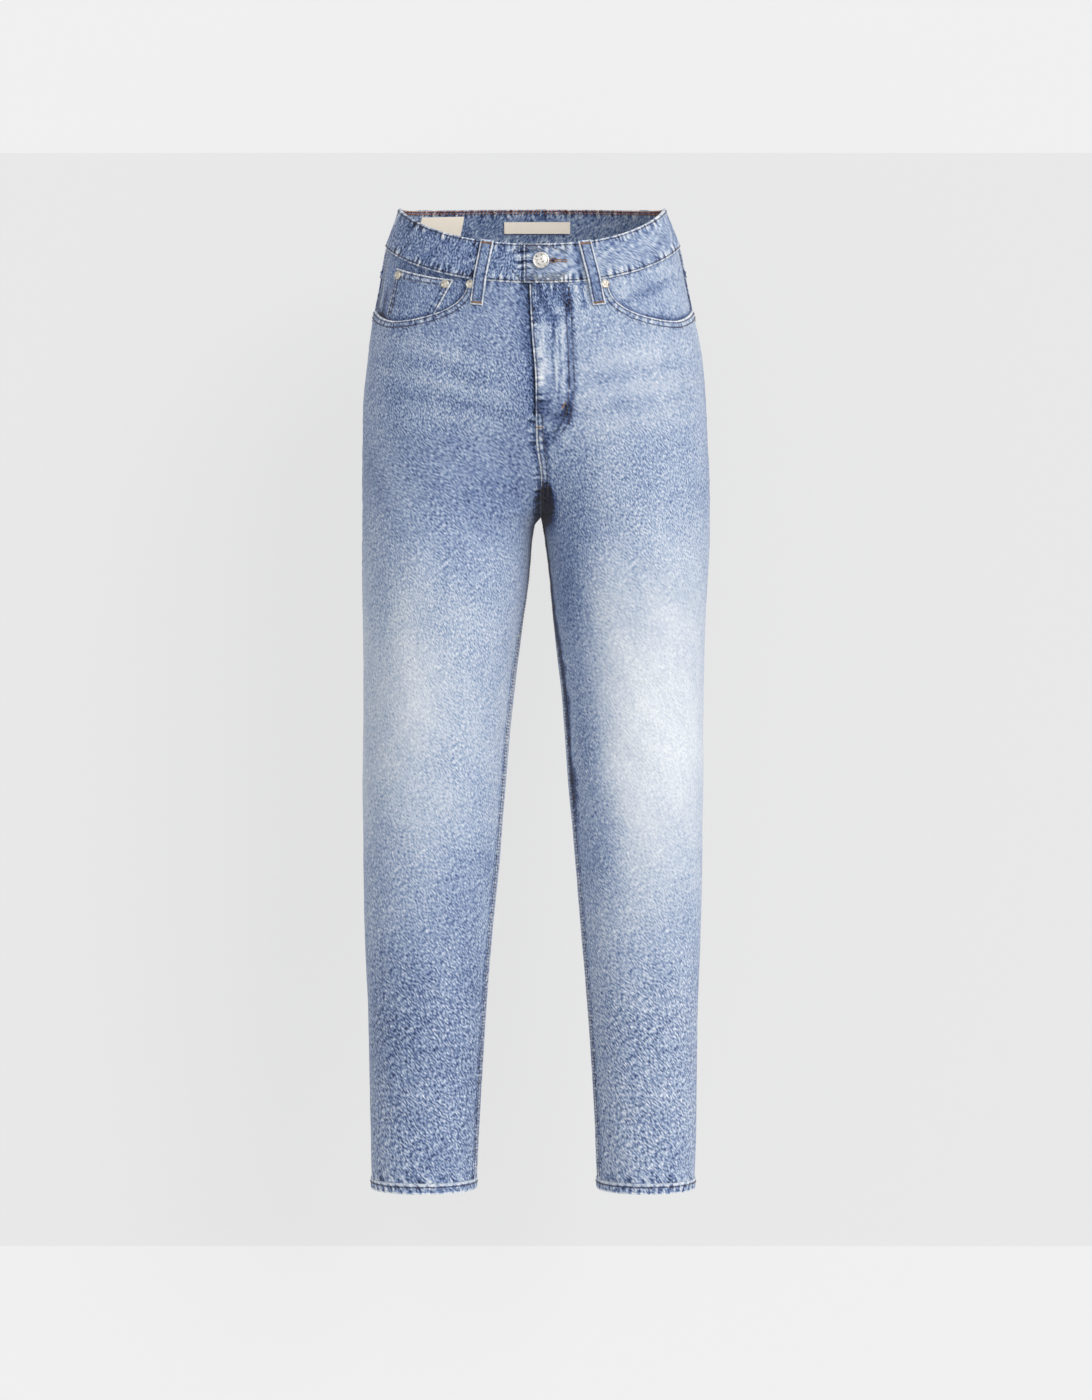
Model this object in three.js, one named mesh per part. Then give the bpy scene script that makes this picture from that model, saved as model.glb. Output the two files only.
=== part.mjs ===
import * as THREE from 'three';

// High-rise tapered jeans, filled out as worn, hollow and open at the waist and hems.
// Millimetres, +Z up. The front faces -Y, the wearer's right is -X.
// The origin is the middle of the waist opening, level with its top edge at the sides.

// Cloth and sewing
const DENIM = 1.4;
const SEAM_GAP = 0.3;
const HALF_GAP = SEAM_GAP / 2;
const CENTRE_GAP = 0.2;
const LAY_GAP = 0.7;
const DOUBLE_CLOTH = 2.4;
const TRIM_CLOTH = 1.2;
const TAPE = 1.0;

// Waist and rise
const BAND_HEIGHT = 40;
const BAND_PROUD = 0.6;
const FRONT_DIP = 49;
const BACK_LIFT = 12;
const DIP_SHAPE = 1.5;
const LEVEL_AT = -200;
const CROTCH = -318;
const FRONT_RISE_TOP = -200;
const BACK_RISE_TOP = -190;
const FRONT_RISE_SHAPE = 0.33;
const BACK_RISE_SHAPE = 0.4;
const RISE_REACH = 0.14;
const THIGH_MERGE = { low: -400, high: -190 };
const HIP_SQUARENESS = 2.25;
const LEG_SQUARENESS = 2.1;

// Seams
const INSEAM_TURN = THREE.MathUtils.degToRad(15);
const INSEAM_FADE = { low: -500, high: -330 };
const OUTSEAM_HIP = 0.492;
const OUTSEAM_LEG = 0.48;

// Fly: x of the fold edge at each level, and the reach of the lap
const FLY_LAP = DENIM + SEAM_GAP;
const FLY_END = -222;
const FLY_FADE = 12;
const FLY_STITCH = { inner: 20, outer: 30 };
const UNDERLAP = 6;
const BAND_LAP = DOUBLE_CLOTH + SEAM_GAP;
const BAND_OVER_END = 15;
const BAND_UNDER_END = 24;
const BAND_RAMP = { inner: 27, outer: 40 };

const ZIP = { top: -46, bottom: -205, halfWidth: 13 };

// Front pocket mouths and coin pocket
const MOUTH_RIVET_X = { right: 74.6, left: 68 };
const MOUTH_TOP = 45;
const MOUTH_DEPTH = 66;
const MOUTH_SHAPE = 1.7;
const MOUTH_BOTTOM_AT = 0.55;
const MOUTH_SIDE_LIFT = 6;
const FACING_UNDER = 14;
const COIN = {
  innerTop: 0.09, innerBottom: 0.22, outerTop: 0.6, outerBottom: 0.62,
  topInner: 44, topOuter: 52, under: 6,
};

// Yokes and back pockets
const YOKE_DEPTH = { side: 72, centre: 108 };
const PATCH = {
  inner: 25, lean: 8, topWidth: 144, bottomWidth: 122, top: 130, side: 134, point: 18, low: -250,
};

// Belt loops, hems, metal and labels
const LOOP = { width: 13, thick: 1.8, top: 1, bottom: -70, bulge: 1.6 };
const HEM = { top: -1008.5, bottom: -1019.5, proud: 0.7, thick: 2.8, puckers: 22, pucker: 0.6 };
const BUTTON = { radius: 8.5, height: 3.4, level: -17.6 };
const RIVET = { radius: 4.4, height: 1.6, fromMouth: 3 };
const CENTRE_LABEL = { width: 66, top: -13, height: 12, shift: -2 };
const SIDE_LABEL = { from: 0.69, to: 0.82, top: -7, height: 22 };

// Hip sections: distance of each side, of the front and of the back from the centre line,
// and how far behind the centre line the section is widest
const HIP_SECTIONS = [
  { level: 10, right: 146, left: 128, front: 88, back: 87, widest: 0 },
  { level: 0, right: 147, left: 129, front: 89, back: 89, widest: 0 },
  { level: -15, right: 152, left: 134.5, front: 90, back: 93, widest: 1 },
  { level: -40, right: 161, left: 144, front: 92, back: 101, widest: 3 },
  { level: -80, right: 168, left: 152.5, front: 96, back: 116, widest: 7 },
  { level: -120, right: 175.5, left: 161, front: 99, back: 130, widest: 10 },
  { level: -160, right: 180.5, left: 168.5, front: 101, back: 141, widest: 13 },
  { level: -200, right: 185, left: 172, front: 101, back: 148, widest: 15 },
  { level: -250, right: 186, left: 174, front: 99, back: 148, widest: 16 },
  { level: -318, right: 186, left: 176, front: 95, back: 138, widest: 15 },
  { level: -420, right: 186, left: 171, front: 88, back: 112, widest: 9 },
];

// Leg sections: inner and outer edge of each leg from the centre line,
// half the depth, and how far the middle lies behind the centre line
const LEG_SECTIONS = [
  { level: -150, rightIn: 0, rightOut: 180, leftIn: 0, leftOut: 167, half: 112, middle: 16 },
  { level: -250, rightIn: 0, rightOut: 186, leftIn: 0, leftOut: 174, half: 109, middle: 16 },
  { level: -318, rightIn: 0, rightOut: 186, leftIn: 0, leftOut: 176, half: 103, middle: 14.5 },
  { level: -328, rightIn: 7, rightOut: 186, leftIn: 2.5, leftOut: 176, half: 102, middle: 14 },
  { level: -344, rightIn: 10, rightOut: 186, leftIn: 5, leftOut: 176, half: 100, middle: 13 },
  { level: -386, rightIn: 13, rightOut: 186, leftIn: 9.5, leftOut: 173.5, half: 96, middle: 10 },
  { level: -427, rightIn: 18, rightOut: 185.5, leftIn: 12.5, leftOut: 171, half: 91, middle: 8 },
  { level: -511, rightIn: 28.5, rightOut: 184.5, leftIn: 21.5, leftOut: 169, half: 80, middle: 3 },
  { level: -594, rightIn: 36, rightOut: 185, leftIn: 28, leftOut: 168.5, half: 73, middle: 0 },
  { level: -677, rightIn: 42.5, rightOut: 184.5, leftIn: 35, leftOut: 167.5, half: 66, middle: 1 },
  { level: -760, rightIn: 51, rightOut: 183, leftIn: 42, leftOut: 166, half: 62, middle: 6 },
  { level: -843, rightIn: 57.5, rightOut: 180, leftIn: 49, leftOut: 163, half: 58.5, middle: 11 },
  { level: -927, rightIn: 62.5, rightOut: 178, leftIn: 54.5, leftOut: 162, half: 55, middle: 13 },
  { level: -1020, rightIn: 67.5, rightOut: 176.5, leftIn: 58.5, leftOut: 160, half: 51.5, middle: 12 },
];

// The left front folds back to this distance on the wearer's right of the centre line
const FLY_FOLD = [
  { level: -40, fold: 11.4 },
  { level: -130, fold: 8.3 },
  { level: -185, fold: 5.4 },
  { level: -250, fold: 4.4 },
  { level: -284, fold: 0 },
  { level: -1020, fold: 0 },
];

// Largest creases, seen from the front or back: soft troughs from one end to the other
const FOLDS = [
  { face: 'front', x0: -30, z0: -268, x1: -150, z1: -205, width: 14, depth: 2.2 },
  { face: 'front', x0: -40, z0: -240, x1: -160, z1: -172, width: 13, depth: 1.6 },
  { face: 'front', x0: 34, z0: -266, x1: 150, z1: -214, width: 14, depth: 2.0 },
  { face: 'front', x0: 44, z0: -232, x1: 158, z1: -180, width: 12, depth: 1.5 },
  { face: 'front', x0: -18, z0: -300, x1: -96, z1: -352, width: 15, depth: 2.4 },
  { face: 'front', x0: 18, z0: -304, x1: 84, z1: -348, width: 15, depth: 2.2 },
  { face: 'front', x0: -60, z0: -560, x1: -150, z1: -604, width: 18, depth: 1.6 },
  { face: 'front', x0: 54, z0: -566, x1: 140, z1: -598, width: 18, depth: 1.4 },
  { face: 'back', x0: -40, z0: -322, x1: -150, z1: -300, width: 16, depth: 3.0 },
  { face: 'back', x0: 40, z0: -324, x1: 146, z1: -304, width: 16, depth: 3.0 },
  { face: 'back', x0: -52, z0: -640, x1: -160, z1: -676, width: 17, depth: 2.6 },
  { face: 'back', x0: 46, z0: -644, x1: 150, z1: -672, width: 17, depth: 2.6 },
  { face: 'back', x0: -60, z0: -690, x1: -150, z1: -652, width: 14, depth: 1.8 },
  { face: 'back', x0: 54, z0: -694, x1: 142, z1: -658, width: 14, depth: 1.8 },
];

// Grid lines of the panels
const MOUTH_MERGE = -150;
const MOUTH_ROWS = 5;
const PANEL_LEVELS = [
  -150, -178, -205, -232, -256, -276, -292, -303, -311, -315.5, -317.5, -318, -322, -330, -344,
  -366, -400, -450, -510, -570, -630, -690, -750, -820, -890, -950, -1008.2,
];
const FLY_COLUMNS = [0, 0.2, 0.38, 0.54, 0.77, 1];
const MOUTH_COLUMNS = [0.03, 0.1, 0.2, 0.34, 0.48, 0.62, 0.75, 0.88, 1];
const RIVET_COLUMN = FLY_COLUMNS.length - 1;
const COLUMNS_EVEN_AT = -260;
const BACK_COLUMNS = 12;
const YOKE_COLUMNS = 9;

const RIGHT = -1;
const LEFT = 1;

// Small maths
const lerp = THREE.MathUtils.lerp;
const clamp01 = (value) => THREE.MathUtils.clamp(value, 0, 1);
const ease = (from, to, value) => {
  const part = clamp01((value - from) / (to - from));
  return part * part * (3 - 2 * part);
};

// Smooth value of one column of a table at a level, through its rows
function column(table, name, level) {
  const last = table.length - 1;
  let row = 0;
  while (row < last - 1 && level < table[row + 1].level) row += 1;
  const above = table[row];
  const below = table[row + 1];
  const span = below.level - above.level;
  const part = clamp01((level - above.level) / span);
  const slope = (low, high) => {
    const a = table[Math.max(low, 0)];
    const b = table[Math.min(high, last)];
    return ((b[name] - a[name]) / (b.level - a.level)) * span;
  };
  const startSlope = slope(row - 1, row + 1);
  const endSlope = slope(row, row + 2);
  const p2 = part * part;
  const p3 = p2 * part;
  return (2 * p3 - 3 * p2 + 1) * above[name] + (p3 - 2 * p2 + part) * startSlope
    + (3 * p2 - 2 * p3) * below[name] + (p3 - p2) * endSlope;
}

// Radius of a rounded-square outline at an angle, 1 on its axes
function squareness(angle, power) {
  const c = Math.abs(Math.cos(angle)) ** power;
  const s = Math.abs(Math.sin(angle)) ** power;
  return (c + s) ** (-1 / power);
}

// Point of the half hip section: turn 0 is the centre front, 1 the centre back
function hipPoint(side, turn, level) {
  const angle = Math.PI * turn;
  const round = squareness(angle, HIP_SQUARENESS);
  const width = column(HIP_SECTIONS, side === RIGHT ? 'right' : 'left', level);
  const widest = column(HIP_SECTIONS, 'widest', level);
  const front = column(HIP_SECTIONS, 'front', level) + widest;
  const back = column(HIP_SECTIONS, 'back', level) - widest;
  const forward = Math.cos(angle) * round;
  return {
    x: width * Math.sin(angle) * round,
    y: widest - forward * (forward > 0 ? front : back),
    forward,
  };
}

// Point of the leg section: turn 0 and 1 are the inseam, going round by the front
function legPoint(side, turn, level) {
  const inseam = INSEAM_TURN * (1 - ease(INSEAM_FADE.low, INSEAM_FADE.high, level));
  const angle = 2 * Math.PI * turn + inseam;
  const round = squareness(angle, LEG_SQUARENESS);
  const inner = Math.max(column(LEG_SECTIONS, side === RIGHT ? 'rightIn' : 'leftIn', level), 0);
  const outer = column(LEG_SECTIONS, side === RIGHT ? 'rightOut' : 'leftOut', level);
  const half = column(LEG_SECTIONS, 'half', level);
  const middle = column(LEG_SECTIONS, 'middle', level);
  return {
    x: (inner + outer) / 2 - ((outer - inner) / 2) * Math.cos(angle) * round,
    y: middle - half * Math.sin(angle) * round,
  };
}

// How far a point has gone over from leg to hip
function hipShare(turn, level) {
  const body = ease(THIGH_MERGE.low, THIGH_MERGE.high, level);
  const front = turn < 0.5;
  const top = front ? FRONT_RISE_TOP : BACK_RISE_TOP;
  const shape = front ? FRONT_RISE_SHAPE : BACK_RISE_SHAPE;
  const seam = clamp01((level - CROTCH) / (top - CROTCH)) ** shape;
  const away = front ? turn : 1 - turn;
  return lerp(seam, body, ease(0, RISE_REACH, away));
}

// Depth of the creases at a point whose face looks forward (facing -1) or back (+1)
function creaseDepth(x, z, facing) {
  let depth = 0;
  for (const fold of FOLDS) {
    const seen = fold.face === 'front' ? Math.max(-facing, 0) : Math.max(facing, 0);
    const dx = fold.x1 - fold.x0;
    const dz = fold.z1 - fold.z0;
    const along = clamp01(((x - fold.x0) * dx + (z - fold.z0) * dz) / (dx * dx + dz * dz));
    const gap = Math.hypot(x - fold.x0 - along * dx, z - fold.z0 - along * dz);
    const taper = Math.sin(Math.PI * lerp(0.12, 0.88, along));
    depth += seen * taper * fold.depth * Math.exp(-((gap / fold.width) ** 2));
  }
  return depth;
}

// Point of the smooth outer surface. Above the crotch a turn past 0 or 1 goes on
// round the other half of the hips; below it, it goes on round the same leg.
function smoothPoint(side, turn, level) {
  let half = side;
  let place = turn;
  if (level > CROTCH) {
    if (turn < 0) {
      half = -side;
      place = -turn;
    } else if (turn > 1) {
      half = -side;
      place = 2 - turn;
    }
  } else {
    place = turn - Math.floor(turn);
  }
  const hip = hipPoint(half, place, level);
  const leg = legPoint(half, place, level);
  const share = hipShare(place, level);
  const tilt = hip.forward > 0 ? -FRONT_DIP : BACK_LIFT;
  const slant = tilt * Math.abs(hip.forward) ** DIP_SHAPE * ease(LEVEL_AT, -BAND_HEIGHT, level);
  return new THREE.Vector3(
    half * (CENTRE_GAP + lerp(leg.x, hip.x, share)),
    lerp(leg.y, hip.y, share),
    level + slant,
  );
}

// Point of the cloth, moved out from the surface by a distance
function skin(side, turn, level, out = 0) {
  const step = 0.004;
  const point = smoothPoint(side, turn, level);
  const atSeam = level > CROTCH && Math.abs(turn - Math.round(turn)) < step / 2;
  const middle = atSeam ? Math.round(turn) : turn;
  const before = smoothPoint(side, middle - step, level);
  const after = smoothPoint(side, middle + step, level);
  const tangent = after.sub(before).setZ(0).normalize();
  const outward = new THREE.Vector3(tangent.y * side, -tangent.x * side, 0);
  const crease = creaseDepth(point.x, point.z, outward.y);
  return point.addScaledVector(outward, out - crease);
}

// Millimetres of cloth for one whole turn at a place
function clothPerTurn(side, turn, level) {
  const step = 0.003;
  return skin(side, turn + step, level).distanceTo(skin(side, turn, level)) / step;
}

// Turn at which the front of one side reaches a distance from the centre line
function frontTurnAt(side, x, level) {
  if (x <= 0) return x / clothPerTurn(side, 0.003, level);
  let low = 0;
  let high = 0.5;
  for (let pass = 0; pass < 24; pass += 1) {
    const middle = (low + high) / 2;
    if (Math.abs(smoothPoint(side, middle, level).x) < x) low = middle;
    else high = middle;
  }
  return low;
}

const outseamTurn = (level) => lerp(
  OUTSEAM_LEG, OUTSEAM_HIP, ease(THIGH_MERGE.low, THIGH_MERGE.high, level));

// Closed body from an outer and an inner grid of points, rows going down,
// columns going round anticlockwise seen from above
function wallGeometry(outer, inner, ring = false) {
  const rows = outer.length;
  const columns = outer[0].length;
  const positions = [];
  const indices = [];
  const put = (grid) => grid.forEach((row) => row.forEach((p) => positions.push(p.x, p.y, p.z)));
  put(outer);
  put(inner);
  const at = (layer, i, j) => layer * rows * columns + i * columns + (j % columns);
  const quad = (a, b, c, d) => indices.push(a, b, c, a, c, d);
  const lastColumn = ring ? columns : columns - 1;
  for (let i = 0; i < rows - 1; i += 1) {
    for (let j = 0; j < lastColumn; j += 1) {
      quad(at(0, i, j), at(0, i + 1, j), at(0, i + 1, j + 1), at(0, i, j + 1));
      quad(at(1, i, j), at(1, i, j + 1), at(1, i + 1, j + 1), at(1, i + 1, j));
    }
  }
  for (let j = 0; j < lastColumn; j += 1) {
    quad(at(0, 0, j), at(0, 0, j + 1), at(1, 0, j + 1), at(1, 0, j));
    quad(at(0, rows - 1, j), at(1, rows - 1, j), at(1, rows - 1, j + 1), at(0, rows - 1, j + 1));
  }
  if (!ring) {
    for (let i = 0; i < rows - 1; i += 1) {
      quad(at(0, i, 0), at(1, i, 0), at(1, i + 1, 0), at(0, i + 1, 0));
      quad(at(0, i, lastColumn), at(0, i + 1, lastColumn),
        at(1, i + 1, lastColumn), at(1, i, lastColumn));
    }
  }
  const geometry = new THREE.BufferGeometry();
  geometry.setAttribute('position', new THREE.Float32BufferAttribute(positions, 3));
  geometry.setIndex(indices);
  geometry.computeVertexNormals();
  return geometry;
}

// Cloth piece: place(i, j) gives side, turn, level and out of each grid point
function clothPiece(rows, columns, thick, place, ring = false) {
  const outer = [];
  const inner = [];
  for (let i = 0; i <= rows; i += 1) {
    const outerRow = [];
    const innerRow = [];
    const lastColumn = ring ? columns - 1 : columns;
    for (let j = 0; j <= lastColumn; j += 1) {
      const spot = place(i, j);
      const innerOut = spot.innerOut ?? spot.out - thick;
      outerRow.push(skin(spot.side, spot.turn, spot.level, spot.out));
      innerRow.push(skin(spot.side, spot.turn, spot.level, innerOut));
    }
    outer.push(outerRow);
    inner.push(innerRow);
  }
  return wallGeometry(outer, inner, ring);
}

// On the right side turns run clockwise, so its columns are taken in reverse
const inOrder = (side, j, columns) => (side === RIGHT ? columns - j : j);

const group = new THREE.Group();
function add(name, geometry, material) {
  const mesh = new THREE.Mesh(geometry, material);
  mesh.name = name;
  group.add(mesh);
  return mesh;
}
const cloth = (color, roughness = 0.9) => new THREE.MeshStandardMaterial({ color, roughness });
const metal = (color) => new THREE.MeshStandardMaterial({ color, roughness: 0.35, metalness: 1 });
const sideName = (side) => (side === RIGHT ? 'right' : 'left');

// Front pocket mouth: level of the cut edge at a share of the way from rivet to outseam
function mouthLevel(share) {
  const reach = clamp01(share / MOUTH_BOTTOM_AT);
  const scoop = (1 - (1 - reach) ** MOUTH_SHAPE) ** (1 / MOUTH_SHAPE);
  return -MOUTH_TOP - MOUTH_DEPTH * scoop + MOUTH_SIDE_LIFT * ease(MOUTH_BOTTOM_AT, 1, share);
}

// Centre-front edge of a front panel, in turns
function frontEdgeTurn(side, level) {
  const fold = Math.max(column(FLY_FOLD, 'fold', level), 0);
  const perTurn = clothPerTurn(RIGHT, 0.003, level);
  if (side === LEFT) return (HALF_GAP - fold) / perTurn;
  const under = ease(FLY_END - FLY_FADE / 2, FLY_END + FLY_FADE / 2, level);
  return lerp(fold + HALF_GAP, -UNDERLAP, under) / perTurn;
}

// The left front lies on the right front's underlap as far as the fly stitching
function flyLift(side, turn, level) {
  if (side === RIGHT) return 0;
  const x = turn * clothPerTurn(side, 0.003, level);
  const fade = ease(FLY_END - 2 * FLY_FADE, FLY_END - FLY_FADE, level);
  return FLY_LAP * fade * (1 - ease(FLY_STITCH.inner, FLY_STITCH.outer, x));
}

// Level of a grid line of the front panels, below the piece's own top edge
const frontLevel = (top, i) => (i < MOUTH_ROWS
  ? lerp(top, MOUTH_MERGE, i / MOUTH_ROWS)
  : PANEL_LEVELS[i - MOUTH_ROWS]);

// Turn of a place between the mouth's rivet and the outseam
function mouthTurn(side, share, level) {
  const rivet = frontTurnAt(side, MOUTH_RIVET_X[sideName(side)], level);
  const end = outseamTurn(level) - HALF_GAP / clothPerTurn(side, 0.5, level);
  return lerp(rivet, end, share);
}

function frontPanel(side) {
  const rows = MOUTH_ROWS + PANEL_LEVELS.length - 1;
  const columns = RIVET_COLUMN + MOUTH_COLUMNS.length;
  return clothPiece(rows, columns, DENIM, (i, jj) => {
    const j = inOrder(side, jj, columns);
    const share = j > RIVET_COLUMN ? MOUTH_COLUMNS[j - RIVET_COLUMN - 1] : 0;
    const top = j > RIVET_COLUMN ? mouthLevel(share) : -BAND_HEIGHT - SEAM_GAP;
    const level = frontLevel(top, i);
    const edge = frontEdgeTurn(side, level);
    const rivetSpot = mouthTurn(side, share, Math.max(level, COLUMNS_EVEN_AT));
    const fitted = j > RIVET_COLUMN ? rivetSpot : lerp(edge, rivetSpot, FLY_COLUMNS[j]);
    const even = lerp(edge, mouthTurn(side, 1, level), j / columns);
    const turn = lerp(fitted, even, 1 - ease(COLUMNS_EVEN_AT, MOUTH_MERGE, level));
    return { side, turn, level, out: flyLift(side, turn, level) };
  });
}

// Level of the yoke seam at a share of the way from outseam to centre back
const yokeLevel = (share) => -lerp(YOKE_DEPTH.side, YOKE_DEPTH.centre, share ** 1.3);

function backSpot(side, share, level) {
  const start = outseamTurn(level) + HALF_GAP / clothPerTurn(side, 0.5, level);
  const end = 1 - HALF_GAP / clothPerTurn(side, 0.99, level);
  return { side, turn: lerp(start, end, share), level, out: 0 };
}

function backPanel(side) {
  const yokeRows = 2;
  const rows = yokeRows + PANEL_LEVELS.length - 1;
  return clothPiece(rows, BACK_COLUMNS, DENIM, (i, jj) => {
    const share = inOrder(side, jj, BACK_COLUMNS) / BACK_COLUMNS;
    const top = yokeLevel(share) - SEAM_GAP;
    const level = i < yokeRows ? lerp(top, MOUTH_MERGE, i / yokeRows) : PANEL_LEVELS[i - yokeRows];
    return backSpot(side, share, level);
  });
}

function yoke(side) {
  const rows = 3;
  return clothPiece(rows, YOKE_COLUMNS, DENIM, (i, jj) => {
    const share = inOrder(side, jj, YOKE_COLUMNS) / YOKE_COLUMNS;
    const level = lerp(-BAND_HEIGHT - SEAM_GAP, yokeLevel(share), i / rows);
    return backSpot(side, share, level);
  });
}

// Waistband: one strip from the lapped end at the front, round by the left, to the under end
function waistband() {
  const columns = 64;
  const rows = 2;
  return clothPiece(rows, columns, DOUBLE_CLOTH, (i, j) => {
    const level = -BAND_HEIGHT * (i / rows);
    const perTurn = clothPerTurn(LEFT, 0.003, level);
    const start = -BAND_OVER_END / perTurn;
    const end = 2 + BAND_UNDER_END / perTurn;
    const turn = lerp(start, end, j / columns);
    const lift = 1 - ease(BAND_RAMP.inner, BAND_RAMP.outer, turn * perTurn);
    const out = BAND_PROUD + BAND_LAP * lift;
    if (turn <= 1) return { side: LEFT, turn, level, out };
    return { side: RIGHT, turn: 2 - turn, level, out };
  });
}

// Cloth seen through the pocket mouth, tucked under the front panel
function pocketFacing(side, out) {
  const rows = 4;
  const shares = [0, ...MOUTH_COLUMNS];
  const columns = shares.length;
  return clothPiece(rows, columns, DENIM, (i, jj) => {
    const j = inOrder(side, jj, columns);
    const share = j > 0 ? shares[j - 1] : 0;
    const level = lerp(-BAND_HEIGHT - SEAM_GAP, mouthLevel(share) - FACING_UNDER, i / rows);
    const tuck = j > 0 ? 0 : FACING_UNDER / clothPerTurn(side, 0.15, level);
    return { side, turn: mouthTurn(side, share, level) - tuck, level, out };
  });
}

function coinPocket(out) {
  const rows = 3;
  const columns = 8;
  return clothPiece(rows, columns, TRIM_CLOTH, (i, jj) => {
    const across = inOrder(RIGHT, jj, columns) / columns;
    const down = i / rows;
    const inner = lerp(COIN.innerTop, COIN.innerBottom, down);
    const outer = lerp(COIN.outerTop, COIN.outerBottom, down);
    const share = lerp(inner, outer, across);
    const top = -lerp(COIN.topInner, COIN.topOuter, across);
    const level = lerp(top, mouthLevel(share) - COIN.under, down);
    return { side: RIGHT, turn: mouthTurn(RIGHT, share, level), level, out };
  });
}

// Five-sided patch pocket, laid on the back panel between the same level lines
function patchPocket(side) {
  const columns = 12;
  const levels = [-PATCH.top, ...PANEL_LEVELS.filter((l) => l < -PATCH.top - 9 && l > PATCH.low)];
  const rows = levels.length + 1;
  return clothPiece(rows, columns, TRIM_CLOTH, (i, jj) => {
    const share = inOrder(side, columns - jj, columns) / columns;
    const bottom = -PATCH.top - PATCH.side - PATCH.point * (1 - Math.abs(2 * share - 1));
    const last = levels[levels.length - 1];
    const beyond = (i - levels.length + 1) / 2;
    const level = i < levels.length ? levels[i] : lerp(last, bottom, beyond);
    const down = (-PATCH.top - level) / PATCH.side;
    const width = lerp(PATCH.topWidth, PATCH.bottomWidth, down);
    const fromCentre = PATCH.inner + PATCH.lean * down + width * share;
    const perTurn = clothPerTurn(side, 0.85, -(PATCH.top + PATCH.side / 2));
    return { side, turn: 1 - fromCentre / perTurn, level, out: LAY_GAP + TRIM_CLOTH };
  });
}

// Belt loop: folded strip sewn down at both ends and standing off a little between
function beltLoop(side, turn, lean) {
  const rows = 8;
  const columns = 2;
  return clothPiece(rows, columns, LOOP.thick, (i, jj) => {
    const across = inOrder(side, jj, columns) / columns - 0.5;
    const down = i / rows;
    const level = lerp(LOOP.top, LOOP.bottom, down);
    const perTurn = clothPerTurn(side, turn, level);
    const onBand = ease(-BAND_HEIGHT - 10, -BAND_HEIGHT, level);
    const seat = LAY_GAP + BAND_PROUD * onBand;
    const out = seat + LOOP.thick + LOOP.bulge * Math.sin(Math.PI * down);
    return { side, turn: turn + (lean * down + across * LOOP.width) / perTurn, level, out };
  });
}

// Leg hem, folded double and roped by the wash into slanting puckers
function hem(side) {
  const columns = HEM.puckers * 3;
  const rows = 3;
  return clothPiece(rows, columns, HEM.thick, (i, jj) => {
    const turn = inOrder(side, jj, columns) / columns;
    const down = i / rows;
    const level = lerp(HEM.top, HEM.bottom, down);
    const rope = Math.sin(2 * Math.PI * (HEM.puckers * turn + 0.4 * down));
    const belly = Math.sin(Math.PI * lerp(0.15, 0.85, down));
    const out = HEM.proud + HEM.pucker * rope * belly;
    return { side, turn, level, out, innerOut: HEM.proud - HEM.thick };
  }, true);
}

// Label sewn inside the waistband
function insideLabel(place) {
  const out = BAND_PROUD - DOUBLE_CLOTH - LAY_GAP;
  return clothPiece(1, 6, TAPE, (i, j) => ({ ...place(i, j / 6), out }));
}

// Zip tapes under the closed fly, between the same level lines as the front panels
function zip() {
  const rows = MOUTH_ROWS + PANEL_LEVELS.indexOf(ZIP.bottom);
  const columns = 4;
  return clothPiece(rows, columns, TRIM_CLOTH, (i, j) => {
    const level = i === 0 ? ZIP.top : frontLevel(-BAND_HEIGHT - SEAM_GAP, i);
    const perTurn = clothPerTurn(LEFT, 0.003, level);
    const turn = (ZIP.halfWidth * (2 * (j / columns) - 1)) / perTurn;
    return { side: LEFT, turn, level, out: -DENIM - LAY_GAP };
  });
}

// Turned metal piece, set on the cloth with its axis square to it
function setOnCloth(mesh, side, turn, level, out) {
  const seat = skin(side, turn, level, out);
  const reach = 3;
  const across = reach / clothPerTurn(side, turn, level);
  const along = skin(side, turn + across, level, out).sub(skin(side, turn - across, level, out));
  const up = skin(side, turn, level + reach, out).sub(skin(side, turn, level - reach, out));
  const outward = along.cross(up).multiplyScalar(side).normalize();
  mesh.position.copy(seat);
  mesh.quaternion.setFromUnitVectors(new THREE.Vector3(0, 1, 0), outward);
}

// Button with a raised rim and a domed middle
function buttonGeometry() {
  const { radius, height } = BUTTON;
  const profile = [
    [0, 0], [radius * 0.8, 0], [radius * 0.98, height * 0.25], [radius, height * 0.5],
    [radius * 0.95, height * 0.8], [radius * 0.82, height], [radius * 0.68, height * 0.88],
    [radius * 0.58, height * 0.7], [radius * 0.3, height * 0.86], [0, height * 0.92],
  ];
  return new THREE.LatheGeometry(profile.map(([r, y]) => new THREE.Vector2(r, y)), 24);
}

function rivetGeometry() {
  const { radius, height } = RIVET;
  const profile = [
    [0, 0], [radius, 0], [radius * 0.95, height * 0.4], [radius * 0.6, height * 0.55],
    [radius * 0.42, height * 0.95], [0, height],
  ];
  return new THREE.LatheGeometry(profile.map(([r, y]) => new THREE.Vector2(r, y)), 14);
}

// The garment, piece by piece
for (const side of [RIGHT, LEFT]) {
  const name = sideName(side);
  add(`front_panel_${name}`, frontPanel(side), cloth(0xa9bbd6));
  add(`back_panel_${name}`, backPanel(side), cloth(0x9fb3d1));
  add(`yoke_${name}`, yoke(side), cloth(0x93a9cb));
  add(`back_pocket_${name}`, patchPocket(side), cloth(0xa3b6d2));
  add(`hem_${name}`, hem(side), cloth(0x8ea3c4));
}
add('waistband', waistband(), cloth(0x93a6c6));

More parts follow.
